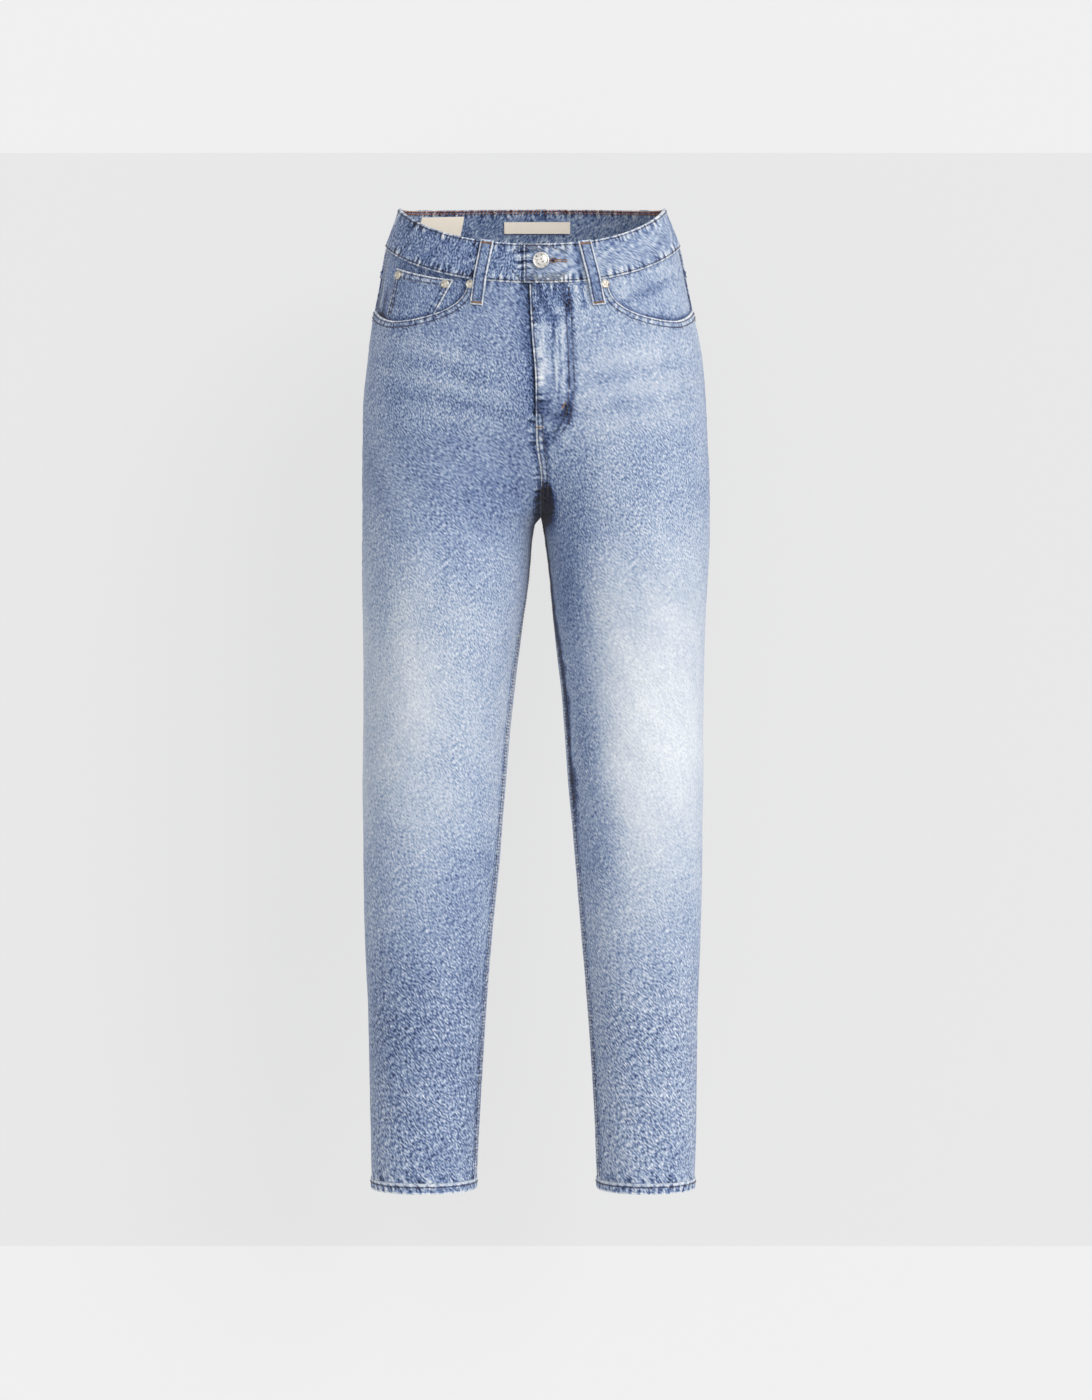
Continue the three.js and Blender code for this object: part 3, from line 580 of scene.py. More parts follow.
def wall(name, outer, inner, cloth, marks, ring=False, coarse=3):
    """Closed cloth from its outer points and a plainer inner face: rows go down, columns
    anticlockwise."""
    rows, columns = outer.shape[:2]
    i_lines = sorted(set(range(0, rows, coarse)) | {rows - 1})
    j_lines = sorted(set(range(0, columns, coarse)) | (set() if ring else {columns - 1}))
    inner = inner[np.ix_(i_lines, j_lines)]
    inner_rows, inner_columns = inner.shape[:2]
    vertices = np.concatenate([outer.reshape(-1, 3), inner.reshape(-1, 3)]) * MM
    base = rows * columns

    def out_at(i, j):
        return i * columns + j % columns

    def in_at(i, j):
        return base + i * inner_columns + j % inner_columns

    faces = []
    last = columns if ring else columns - 1
    inner_last = inner_columns if ring else inner_columns - 1
    for i in range(rows - 1):
        for j in range(last):
            faces.append((out_at(i, j), out_at(i + 1, j), out_at(i + 1, j + 1), out_at(i, j + 1)))
    outer_faces = len(faces)
    for i in range(inner_rows - 1):
        for j in range(inner_last):
            faces.append((in_at(i, j), in_at(i, j + 1), in_at(i + 1, j + 1), in_at(i + 1, j)))
    inner_faces = len(faces)
    j_ends = j_lines + [columns] if ring else j_lines
    for b in range(len(j_ends) - 1):
        span = range(j_ends[b], j_ends[b + 1] + 1)
        faces.append([out_at(0, j) for j in span] + [in_at(0, b + 1), in_at(0, b)])
        faces.append([in_at(inner_rows - 1, b), in_at(inner_rows - 1, b + 1)]
                     + [out_at(rows - 1, j) for j in reversed(span)])
    if not ring:
        for a in range(inner_rows - 1):
            span = range(i_lines[a], i_lines[a + 1] + 1)
            faces.append([in_at(a, 0), in_at(a + 1, 0)] + [out_at(i, 0) for i in reversed(span)])
            faces.append([out_at(i, columns - 1) for i in span]
                         + [in_at(a + 1, inner_columns - 1), in_at(a, inner_columns - 1)])
    mesh = bpy.data.meshes.new(f"{name}_cloth")
    mesh.from_pydata(vertices.tolist(), [], faces)
    piece = add_object(f"{name}_cloth", mesh)
    flat_map = np.concatenate([cloth.reshape(-1, 2), cloth[np.ix_(i_lines, j_lines)].reshape(-1, 2)]) * MM
    corners = np.zeros(len(mesh.loops), np.int32)
    mesh.loops.foreach_get("vertex_index", corners)
    uv = mesh.uv_layers.new(name="Cloth")
    uv.data.foreach_set("uv", flat_map[corners].astype(np.float32).ravel())
    for mark, values in marks.items():
        values = np.broadcast_to(values, outer.shape[:2])
        both = np.concatenate([values.ravel(), values[np.ix_(i_lines, j_lines)].ravel()])
        mesh.attributes.new(mark, "FLOAT", "POINT").data.foreach_set("value", both.astype(np.float32))
    mesh.polygons.foreach_set("use_smooth", [True] * len(mesh.polygons))
    mesh.set_sharp_from_angle(angle=math.radians(50))
    sides = np.zeros(len(mesh.polygons), np.int32)
    sides[outer_faces:inner_faces] = 1
    mesh.polygons.foreach_set("material_index", sides)
    mesh.update()
    return piece


def srgb(red, green, blue):
    """Linear colour from the 0 to 255 values of a screen."""
    return [(v / 255 / 12.92 if v < 10.3 else ((v / 255 + 0.055) / 1.055) ** 2.4)
            for v in (red, green, blue)] + [1]


def times(tree, product, *values):
    for value in values:
        product = maths(tree, "MULTIPLY", product, value)
    return product


def plus(tree, total, *shares):
    """A value plus each other value times its share."""
    for value, share in shares:
        total = maths(tree, "ADD", total, times(tree, value, share))
    return total


def noise(tree, place, detail, scale=1.0, dimensions="2D"):
    inputs = {"Vector": place, "Scale": scale, "Detail": detail}
    return node(tree, "ShaderNodeTexNoise", inputs, noise_dimensions=dimensions).outputs["Fac"]


def two_tones(tree, share, first, second):
    inputs = {0: share, 6: srgb(*first), 7: srgb(*second)}
    return node(tree, "ShaderNodeMix", inputs, data_type="RGBA").outputs[2]


def relief_bump(tree, strength, height):
    inputs = {"Strength": strength, "Distance": MM, "Height": height}
    return node(tree, "ShaderNodeBump", inputs).outputs[0]


def in_millimetres(tree, cloth):
    return node(tree, "ShaderNodeVectorMath", {0: cloth, "Scale": 1 / MM}, operation="SCALE").outputs[0]


def cloth_uv(tree):
    return node(tree, "ShaderNodeUVMap", uv_map="Cloth").outputs[0]


def grain(tree, cloth, angle, length, width, detail=1.0):
    """Noise from -1 to 1 whose flecks are length by width millimetres, turned by an angle."""
    turned = node(tree, "ShaderNodeMapping", {"Vector": cloth, "Rotation": (0, 0, math.radians(angle))})
    sized = node(tree, "ShaderNodeMapping",
                 {"Vector": turned.outputs[0], "Scale": (1 / length, 1 / width, 1)})
    return ranged(tree, noise(tree, sized.outputs[0], detail), 0.25, 0.75, -1, 1)


# How far the first and the second row of stitches lie from a sewn edge, and half a row's dent
ROW_GAPS = (2.0, 6.8)
ROW_DENT = (0.4, 1.3)
# Colours of the face from the near black of painted shade, through unworn blue, to bare white edges
FACE_COLOURS = ((-0.5, (15, 20, 37)), (-0.15, (52, 69, 109)), (0.1, (87, 106, 146)),
                (0.35, (127, 146, 178)), (0.6, (167, 179, 198)), (0.85, (199, 205, 214)),
                (1.1, (224, 227, 230)))
# The flecks are stronger below these levels, above the hems
COARSE_BELOW = (-860, -700)


def denim_group():
    """The faded face of the twill: blue warp with white weft showing through as slanting flecks, paler
    where it is rubbed, darker where shade is painted in, white on its edges, pinched along its seams, and
    with painted shade in the dents of its stitch rows."""
    tree = bpy.data.node_groups.new("Denim face", "ShaderNodeTree")
    tree.interface.new_socket("Cloth", in_out="INPUT", socket_type="NodeSocketVector")
    for name in ("Wear", "Seam", "Along", "Grain", "White edge", "Pinch", "Mottle", "Sewn", "Second row"):
        tree.interface.new_socket(name, in_out="INPUT", socket_type="NodeSocketFloat")
    tree.interface.new_socket("Color", in_out="OUTPUT", socket_type="NodeSocketColor")
    for name in ("Height", "Roughness"):
        tree.interface.new_socket(name, in_out="OUTPUT", socket_type="NodeSocketFloat")
    given = tree.nodes.new("NodeGroupInput").outputs
    cloth = in_millimetres(tree, given["Cloth"])
    fleck = grain(tree, cloth, 48, 5.4, 1.4, 0.4)
    slub = grain(tree, cloth, 90, 16, 1.2, 1.0)
    fine = grain(tree, cloth, 50, 3.2, 1.0, 0.4)
    streak = grain(tree, cloth, 49, 13, 2.4, 0.6)
    mottle = grain(tree, cloth, 62, 13, 6, 1.0)
    cloud = grain(tree, cloth, 70, 64, 38, 2.0)
    pinch_map = node(tree, "ShaderNodeCombineXYZ", {0: times(tree, given["Along"], 1 / 4.4),
                                                    1: times(tree, given["Seam"], 1 / 26.0)})
    pinch = ranged(tree, noise(tree, pinch_map.outputs[0], 1.0), 0.32, 0.68, -1, 1)
    uneven_map = node(tree, "ShaderNodeCombineXYZ", {0: times(tree, given["Along"], 1 / 19.0)})
    uneven = noise(tree, uneven_map.outputs[0], 2.0)
    beside = ranged(tree, given["Seam"], 3.0, 13.0, 1, 0, True)
    pinched = times(tree, pinch, ranged(tree, uneven, 0.34, 0.62, 0.25, 1.25), beside, given["Pinch"])
    edge = ranged(tree, given["Seam"], 0.9, 2.3, 1, 0, True)
    whitened = times(tree, edge, ranged(tree, uneven, 0.34, 0.62, 0.7, 1.15), given["White edge"])
    height_on_leg = node(tree, "ShaderNodeSeparateXYZ", {0: cloth}).outputs["Y"]
    fleck = times(tree, fleck, ranged(tree, height_on_leg, *COARSE_BELOW, 1.7, 1.0, True))
    speckle = plus(tree, times(tree, fleck, 0.14), (slub, 0.05), (fine, 0.30), (streak, 0.05))
    speckle = times(tree, speckle, given["Grain"], ranged(tree, given["Wear"], 0.42, 0.82, 1.12, 0.5),
                    ranged(tree, height_on_leg, *COARSE_BELOW, 1.2, 1.0, True))
    wear = maths(tree, "ADD", given["Wear"], speckle)
    wear = plus(tree, wear, (mottle, given["Mottle"]), (cloud, 0.07), (pinched, 0.30))
    wear = maths(tree, "ADD", wear, whitened)
    # Each stitch row dents the cloth: the dent gets a bump and painted shade
    first, second = (maths(tree, "ABSOLUTE", maths(tree, "SUBTRACT", given["Sewn"], gap))
                     for gap in ROW_GAPS)
    second = times(tree, ranged(tree, second, *ROW_DENT, 1, 0, True), given["Second row"])
    row_dent_and_shade = maths(tree, "MAXIMUM", ranged(tree, first, *ROW_DENT, 1, 0, True), second)
    wear = plus(tree, wear, (row_dent_and_shade, -0.34))
    low, high = FACE_COLOURS[0][0], FACE_COLOURS[-1][0]
    ramp = node(tree, "ShaderNodeValToRGB", {"Fac": ranged(tree, wear, low, high, 0, 1)})
    elements = ramp.color_ramp.elements
    while len(elements) < len(FACE_COLOURS):
        elements.new(0.5)
    for element, (value, colour) in zip(elements, FACE_COLOURS):
        element.position = (value - low) / (high - low)
        element.color = srgb(*colour)
    height = plus(tree, times(tree, fleck, 0.12), (fine, 0.08), (pinched, 0.45), (row_dent_and_shade, -0.3))
    feed(tree, tree.nodes.new("NodeGroupOutput"),
         {"Color": ramp.outputs["Color"], "Height": height,
          "Roughness": ranged(tree, wear, 0, 1, 0.82, 0.95)})
    return tree


DENIM_FACE = denim_group()


def denim(name, grain_strength=1.0, white_edge=0.6, pinch=1.0, mottle=0.045, double=1.0):
    material, tree, shader = new_material(name)
    values = {"Cloth": cloth_uv(tree), "Grain": grain_strength, "White edge": white_edge, "Pinch": pinch,
              "Mottle": mottle, "Second row": double}
    # The wear mark of each piece holds the cloth's real wear with painted shade laid into it
    for mark in ("wear", "seam", "along", "sewn"):
        values[mark.title()] = node(tree, "ShaderNodeAttribute", attribute_name=mark).outputs["Fac"]
    face = node(tree, "ShaderNodeGroup", node_tree=DENIM_FACE)
    feed(tree, face, values)
    feed(tree, shader, {"Specular IOR Level": 0.2, "Sheen Weight": 0.15, "Sheen Roughness": 0.6,
                        "Base Color": face.outputs["Color"], "Roughness": face.outputs["Roughness"],
                        "Normal": relief_bump(tree, 0.8, face.outputs["Height"])})
    return material


PANEL_DENIM = denim("Panel denim", 1.0, 0.5, 1.2)


def inside_denim():
    """The pale weft face inside: greyish white with fine slanting blue."""
    material, tree, shader = new_material("Denim inside")
    cloth = in_millimetres(tree, cloth_uv(tree))
    thread = grain(tree, cloth, 58, 3.0, 0.8, 1.0)
    blur = grain(tree, cloth, 90, 24, 6, 2.0)
    mixed = plus(tree, ranged(tree, thread, -1, 1, 0, 0.8), (blur, 0.12))
    feed(tree, shader, {"Base Color": two_tones(tree, mixed, (128, 142, 170), (206, 212, 222)),
                        "Roughness": 0.95, "Specular IOR Level": 0.15,
                        "Normal": relief_bump(tree, 0.6, times(tree, thread, 0.1))})
    return material


INSIDE_DENIM = inside_denim()
SURFACES = {}


def cloth_piece(name, side, points, outward, out, thick, relief, marks, material, ring=False, inside=None,
                coarse=3):
    """Makes a cloth wall from surface points, moved out, with its relief on the outer face only."""
    if side == RIGHT:
        points, outward = points[:, ::-1], outward[:, ::-1]
        out, relief = (v[:, ::-1] if isinstance(v, np.ndarray) else v for v in (out, relief))
        marks = {mark: (v[:, ::-1] if isinstance(v, np.ndarray) else v) for mark, v in marks.items()}
    out = np.broadcast_to(out, points.shape[:2])
    outer = points + outward * (out + relief)[..., None]
    inner = points + outward * (out - thick)[..., None]
    piece = wall(name, outer, inner, cloth_map(points), marks, ring, coarse)
    piece.data.materials.append(material)
    piece.data.materials.append(inside or material)
    polygons = [tuple(p.vertices) for p in piece.data.polygons]
    SURFACES[name] = BVHTree.FromPolygons([v.co.copy() for v in piece.data.vertices], polygons)
    return piece


def settle(piece, cad_node):
    """Sets a cloth piece under the root and hides the node it stands for."""
    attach(piece, "root")
    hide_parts(cad_node)


SIDE_NAME = {RIGHT: "right", LEFT: "left"}
MOUTH_MERGE = -150.0
COLUMNS_EVEN_AT = -260.0
HEM_SEAM, HEM_ROUND = -1008.2, 335
ROW_PITCH = 2.5
PANEL_LEVELS = np.concatenate([
    np.arange(MOUTH_MERGE, -300, -ROW_PITCH),
    np.arange(-300, CROTCH + 1.6, -1.5),
    [CROTCH + 1.2, CROTCH + 0.6, CROTCH + 0.2, CROTCH, CROTCH - 0.8],
    np.arange(CROTCH - 2, -340, -1.6),
    np.linspace(-340, HEM_SEAM, 268),
])
FELL_WIDTH, FELL_HEIGHT = 8.0, 0.8
OUTSEAM_CLEAR, OUTSEAM_DARK, OUTSEAM_WIDE = 8.0, 0.28, 2.0
FOLD_SHADE = 0.6
MOUTH_BAND = 9.0
FLY_RIDGES = table("x width height top bottom", [
    (1.5, 3.6, 0.9, -132, -200),
    (12.8, 1.3, -1.1, -128, -204),
    (15.6, 1.8, 0.8, -136, -198),
    (19.0, 1.4, -0.8, -130, -206),
    (22.5, 2.0, 0.6, -126, -204),
])

# The two curved rows that hold the fly underneath, in millimetres across and up
FLY_CURVE = table("x z", [
    (28.0, -93), (30.6, -118), (32.4, -144), (33.4, -168), (33.6, -190), (33.2, -208),
    (31.0, -222), (27.0, -233), (20.0, -241), (11.3, -247), (4.0, -251), (-1.0, -256),
])
FLY_ROW_GAP = 5.2
RIDGE_FADE = 12
# Dark patches of the unworn fly: level, height, strength and evenness
FLY_DARKS = ((-110, 19, 0.42, 0.8), (-216, 15, 0.36, 0.9))


def felled(gap):
    """The rise of the doubled cloth beside a felled seam."""
    return FELL_HEIGHT * (1 - ease(FELL_WIDTH - 1.0, FELL_WIDTH + 0.6, gap))


def turned_in(relief, seam, reach=2.5, deep=0.30, width=0.7):
    """Relief that dies out towards a seam and turns in at its edge."""
    return relief * ease(0, reach, seam) - deep * close_to(seam, width)


def off_outseam(seam, outseam_gap):
    """Keeps the white of worn edges off the pressed outseam."""
    return np.where(outseam_gap < OUTSEAM_CLEAR, np.maximum(seam, OUTSEAM_CLEAR), seam)


def crumple(cloth_points, seam, along, strength=1.0):
    """Low relief of washed cloth: slight waves all over, and pinches at right angles to the seams."""
    x, z = cloth_points[..., 0] + cloth_points[..., 1] * 0.7, cloth_points[..., 2]
    waves = 0.35 * soft_noise(x / 34, z / 46, 3) + 0.16 * soft_noise(x / 13, z / 17, 4)
    pinches = 0.38 * soft_noise(along / 4.6, seam / 30, 5) * close_to(seam, 7.5)
    return strength * (waves + pinches)


# The front belt loops: the side, their distance from the centre line, and how far they lean
FRONT_LOOPS = ((RIGHT, 54.0, 4.0), (LEFT, 44.0, 8.0))
HALF_LOOP, LOOP_DROP = 6.5, 70.0


def shade_left(left_of, rise, reach):
    """Shade that a raised piece throws on the cloth at its left."""
    return ease(-1, rise, left_of) * close_to(np.maximum(left_of, 0), reach)


def hem_pull(side, turn, level):
    """Slanting pulls, from -1 to 1, that the roped hem draws in the cloth just above it."""
    slanted = side * turn * HEM_ROUND + 0.7 * level
    pulls = soft_noise(slanted / 4.6, level / 40, 33) + 0.5 * soft_noise(slanted / 9.0, level / 30, 34)
    return np.clip(pulls, -1, 1) * close_to(level - HEM_SEAM, 8.0)


def front_panel(side):
    name = f"front_panel_{SIDE_NAME[side]}"
    fly_parts = spaced(30, EDGE_LINES)[:-2]
    mouth_parts = spaced(72, (0.3,)) ** 1.35
    top_parts = np.concatenate([[0, 0.006, 0.014], np.linspace(0.024, 1, 36)])
    shares = np.concatenate([np.zeros(len(fly_parts)), mouth_parts])
    fly_share = np.concatenate([fly_parts, np.ones(len(mouth_parts))])
    on_mouth = np.arange(len(shares)) >= len(fly_parts)
    tops = np.where(on_mouth, mouth_level(shares), -BAND_HEIGHT - SEAM_GAP)
    upper = lerp(tops[None, :], MOUTH_MERGE, top_parts[:, None])
    lower = np.repeat(PANEL_LEVELS[1:, None], len(shares), axis=1)
    level = np.concatenate([upper, lower])
    edge = front_edge_turn(side, level)
    rivet_spot = mouth_turn(side, shares[None, :], np.maximum(level, COLUMNS_EVEN_AT))
    fitted = np.where(on_mouth[None, :], rivet_spot, lerp(edge, rivet_spot, fly_share[None, :]))
    even_turn = lerp(edge, mouth_turn(side, 1, level), spaced(len(shares) - 4)[None, :])
    turn = lerp(fitted, even_turn, 1 - ease(COLUMNS_EVEN_AT, MOUTH_MERGE, level))
    points, outward = skin(side, turn, level)
    out = fly_lift(side, turn, level)
    mouth_line = points[0, len(fly_parts):]
    top_line = points[0, :len(fly_parts) + 1]
    centre_line = points[:, 0]
    outseam_line = points[:, -1]
    mouth_gap = gap_from(points, mouth_line)
    centre_gap = gap_from(points, centre_line)
    seam, along = along_lines(points, [mouth_line, centre_line, outseam_line, top_line])
    below_crotch = 1 - ease(CROTCH - 6, CROTCH + 6, level)
    below_fly = 1 - ease(FLY_END - 14, FLY_END - 2, level)
    fell_here = np.maximum(below_crotch, below_fly if side == LEFT else 0)
    relief = fell_here * felled(centre_gap)
    relief = relief + 0.75 * (1 - ease(MOUTH_BAND - 0.8, MOUTH_BAND + 0.8, mouth_gap))
    relief = relief + crumple(points, seam, along)
    relief = relief - trough(FINE_FOLDS, points[..., 0], points[..., 2], outward[..., 1])
    wear = wear_and_painted_light(points, outward)
    ragged = centre_gap + 5 * soft_noise(points[..., 2] / 9, points[..., 0] / 9, 7)
    # Painted shade at the fork, where the two front panels and the inseams meet: dark cloth standing in
    # for the shadowed back rise between the legs
    fork_half = lerp(11, 3, ease(-308, -286, points[..., 2]))
    fork_painted_shade = close_to(points[..., 0] - 4, fork_half, 4) * close_to(points[..., 2] + 310, 23, 4)
    if side == LEFT:
        x, z = points[..., 0], points[..., 2]
        for rx, width, height, top, bottom in zip(*FLY_RIDGES.values()):
            above_end = ease(bottom - RIDGE_FADE, bottom + RIDGE_FADE, z)
            band = above_end * (1 - ease(top - RIDGE_FADE, top + RIDGE_FADE, z))
            ridge = close_to(x - rx, width) * band * (outward[..., 1] < 0)
            relief = relief + height * ridge
            wear = wear + 0.40 * height * ridge
        on_fly = (outward[..., 1] < 0) * (1 - ease(30, 34, x))
        blotch = soft_noise(z / 9, x / 7, 21)
        wear = wear + on_fly * 0.20 * blotch * ease(-262, -250, z)
        for at, high, strong, even in FLY_DARKS:
            wear = wear - strong * on_fly * close_to(z - at, high) * (even - 0.5 * blotch)
        # Painted shade down the inner edge of this leg, where it turns away from the light, with some
        # darker unworn cloth, and darker still beside the crotch
        inner_shade = (1 - ease(11, 20, ragged)) * (1 - ease(-352, -336, z)) * ease(-660, -600, z)
        crotch_painted_shade = (1 - ease(6, 17, ragged)) * (1 - ease(-300, -286, z)) * ease(-360, -346, z)
        wear = wear - 0.62 * np.maximum(inner_shade, 1.5 * crotch_painted_shade)
    else:
        beyond = np.maximum(np.abs(points[..., 0]) - np.maximum(column(FLY_FOLD, "fold", level), 0), 0)
        reach = lerp(4.0, 12.0, ease(-290, -90, level))
        shade = close_to(beyond, reach) * ease(CROTCH, CROTCH + 30, level)
        wear = wear - 0.46 * shade - 0.5 * close_to(beyond, 1.8) * ease(CROTCH, CROTCH + 30, level)
        relief = relief - 0.9 * shade
    sewn = gap_from(points, mouth_line, centre_line)
    if side == LEFT:
        sewn = np.where((level > FLY_END) & (sewn > 4.4) & (mouth_gap > 14), 99, sewn)
        curve = np.stack([FLY_CURVE["x"], 0 * FLY_CURVE["x"], FLY_CURVE["z"]], -1)
        front_view = points * np.array([1, 0, 1])
        from_curve = gap_from(front_view, curve)
        inner_curve = gap_from(front_view, curve - np.array([FLY_ROW_GAP, 0, -0.4 * FLY_ROW_GAP]))
        near_rows = np.minimum(from_curve, inner_curve)
        # Painted shade in the dents beside the two curved rows of the fly
        wear = wear - 0.30 * close_to(near_rows, 3.0) * (outward[..., 1] < 0) * (sewn > 6)
        on_curve = near_rows + ROW_GAPS[0]
        sewn = np.where((outward[..., 1] < 0) & (on_curve < 5.4) & (sewn > 9), on_curve, sewn)
    else:
        sewn = np.where((level > CROTCH) & (mouth_gap > 14), 99, sewn)
    pull = hem_pull(side, turn, level)
    relief = relief + 0.5 * pull
    wear = wear + 0.55 * pull
    on_fell = fell_here * (1 - ease(FELL_WIDTH, FELL_WIDTH + 1, centre_gap))
    # The doubled cloth of the fell is paler with wear; just past its raised edge lies a thin painted
    # shadow
    wear = wear + 0.12 * on_fell - 0.34 * fell_here * close_to(centre_gap - FELL_WIDTH - 1.4, 1.5)
    relief = turned_in(relief, seam)
    outseam_gap = gap_from(points, outseam_line)
    seam = off_outseam(seam, outseam_gap)
    wear = wear - OUTSEAM_DARK * close_to(outseam_gap, OUTSEAM_WIDE) - fork_painted_shade
    # Painted shadow under the waistband's lower edge
    wear = wear - 0.75 * close_to(gap_from(points, top_line) + 0.6, 2.2)
    for loop_side, loop_x, loop_lean in FRONT_LOOPS:
        if loop_side == side:
            loop_middle = loop_side * (loop_x + loop_lean * np.clip(-level / LOOP_DROP, 0, 1))
            left_of = loop_middle - HALF_LOOP - points[..., 0]
            beside_loop = shade_left(left_of, 0.5, 3.2) * ease(-LOOP_DROP - 6, -LOOP_DROP, level)
            wear = wear - FOLD_SHADE * beside_loop
    marks = {"wear": wear, "seam": seam, "along": along, "sewn": sewn}
    piece = cloth_piece(name, side, points, outward, out, DENIM, relief, marks, PANEL_DENIM,
                        inside=INSIDE_DENIM)
    settle(piece, name)


for front_side in (RIGHT, LEFT):
    front_panel(front_side)

# Back panels: one for each leg, from the yoke to the hem, of the same denim. The left one
# carries the felled seat seam.
YOKE_SIDE, YOKE_CENTRE, YOKE_CURVE = 72.0, 108.0, 1.3


def yoke_level(share):
    return -lerp(YOKE_SIDE, YOKE_CENTRE, share ** YOKE_CURVE)


# The back closes up to the pieces beside it, so that no light comes through its seams
CLOSED = 0.8 * HALF_GAP
CLOSED_TOP = 0.1 * SEAM_GAP


def back_turn(side, share, level):
    level = np.asarray(level, float)
    start = outseam_turn(level) - CLOSED / cloth_per_turn(side, 0.5, level)
    past = np.where((level > CROTCH) & (side == RIGHT), -HALF_GAP, CLOSED)
    return lerp(start, 1 + past / cloth_per_turn(side, 0.99, level), share)


def back_panel(side):
    name = f"back_panel_{SIDE_NAME[side]}"
    shares = spaced(112)
    top_parts = np.concatenate([[0, 0.01, 0.022], np.linspace(0.04, 1, 26)])
    upper = lerp(yoke_level(shares)[None, :] - CLOSED_TOP, MOUTH_MERGE, top_parts[:, None])
    level = np.concatenate([upper, np.repeat(PANEL_LEVELS[1:, None], len(shares), axis=1)])
    turn = back_turn(side, shares[None, :], level)
    points, outward = skin(side, turn, level)
    centre_gap = gap_from(points, points[:, -1])
    seam, along = along_lines(points, [points[:, 0], points[:, -1], points[0]])
    above_crotch = ease(CROTCH - 4, CROTCH + 8, level)
    relief = crumple(points, seam, along)
    if side == LEFT:
        relief = relief + above_crotch * felled(centre_gap)
    relief = relief - trough(FINE_FOLDS, points[..., 0], points[..., 2], outward[..., 1])
    sewn = np.where((level > CROTCH) & (side == LEFT), centre_gap, 99.0)
    pull = hem_pull(side, turn, level)
    outseam_gap = gap_from(points, points[:, 0])
    relief = turned_in(relief, seam) + 0.5 * pull
    wear = wear_and_painted_light(points, outward) + 0.55 * pull - OUTSEAM_DARK * close_to(outseam_gap, OUTSEAM_WIDE)
    seam = off_outseam(seam, outseam_gap)
    marks = {"wear": wear, "seam": seam, "along": along, "sewn": sewn}
    piece = cloth_piece(name, side, points, outward, 0.0, DENIM, relief, marks, PANEL_DENIM,
                        inside=INSIDE_DENIM)
    settle(piece, name)


for back_side in (RIGHT, LEFT):
    back_panel(back_side)

# Yokes: two shaped pieces between the waistband and the back panels, of the same denim. They
# are felled to the panels below them and sewn with two rows.
for yoke_side in (RIGHT, LEFT):
    yoke_name = f"yoke_{SIDE_NAME[yoke_side]}"
    yoke_shares = spaced(84)
    yoke_parts = spaced(24, EDGE_LINES)
    yoke_levels = lerp(-BAND_HEIGHT - CLOSED_TOP, yoke_level(yoke_shares)[None, :], yoke_parts[:, None])
    yoke_turns = back_turn(yoke_side, yoke_shares[None, :], yoke_levels)
    yoke_points, yoke_out = skin(yoke_side, yoke_turns, yoke_levels)
    yoke_edges = [yoke_points[0], yoke_points[-1], yoke_points[:, -1]]
    yoke_seam, yoke_along = along_lines(yoke_points, yoke_edges)
    lower_gap = gap_from(yoke_points, yoke_points[-1])
    yoke_relief = turned_in(crumple(yoke_points, yoke_seam, yoke_along) + felled(lower_gap), yoke_seam)
    yoke_marks = {"wear": wear_and_painted_light(yoke_points, yoke_out), "seam": yoke_seam, "along": yoke_along,
                  "sewn": lower_gap}
    yoke = cloth_piece(yoke_name, yoke_side, yoke_points, yoke_out, 0.0, DENIM, yoke_relief, yoke_marks,
                       PANEL_DENIM, inside=INSIDE_DENIM)
    settle(yoke, yoke_name)

# Waistband: one straight strip folded along its top, 40 mm high, with its left end lapped
# over the right one at the fly. Pinched all along both stitched edges.
DOUBLE_CLOTH = 2.4
BAND_PROUD = 0.6
BAND_LAP = DOUBLE_CLOTH + SEAM_GAP
BAND_OVER_END, BAND_UNDER_END = 15.0, 24.0
BAND_RAMP_INNER, BAND_RAMP_OUTER = 27.0, 40.0
BAND_DENIM = denim("Band denim", 1.0, 0.5, 2.0, 0.09, 0.0)


def band_lift(mm_from_front):
    return BAND_LAP * (1 - ease(BAND_RAMP_INNER, BAND_RAMP_OUTER, mm_from_front))


band_parts = spaced(26, EDGE_LINES)
band_levels = -BAND_HEIGHT * band_parts[:, None]
band_per_turn = cloth_per_turn(LEFT, 0.003, band_levels)
band_turn = lerp(-BAND_OVER_END / band_per_turn, 2 + BAND_UNDER_END / band_per_turn, spaced(360)[None, :])
band_levels = np.repeat(band_levels, band_turn.shape[1], axis=1)
band_lift_out = BAND_PROUD + band_lift(band_turn * band_per_turn)
on_left = band_turn <= 1
left_points, left_out = skin(LEFT, np.where(on_left, band_turn, 1), band_levels)
right_points, right_out = skin(RIGHT, np.where(on_left, 1, 2 - band_turn), band_levels)
band_points = np.where(on_left[..., None], left_points, right_points)
band_out = np.where(on_left[..., None], left_out, right_out)
band_seam, band_along = along_lines(band_points, [band_points[0], band_points[-1], band_points[:, 0]])
band_relief = crumple(band_points, band_seam, band_along, 1.1)
band_x = band_points[..., 0]
band_slope = lerp(0.9, -1.5, ease(-20, 20, band_x))
band_pull = soft_noise((band_turn * band_per_turn + band_slope * band_levels) / 6.0, band_levels / 45, 41)
band_pull = band_pull * ease(-0.3, 0.5, soft_noise(band_turn * band_per_turn / 24, band_levels / 22, 42))
band_relief = band_relief + 0.5 * band_pull
band_relief = turned_in(band_relief, band_seam, 2.2, 0.55, 0.8)
band_front = band_out[..., 1] < 0
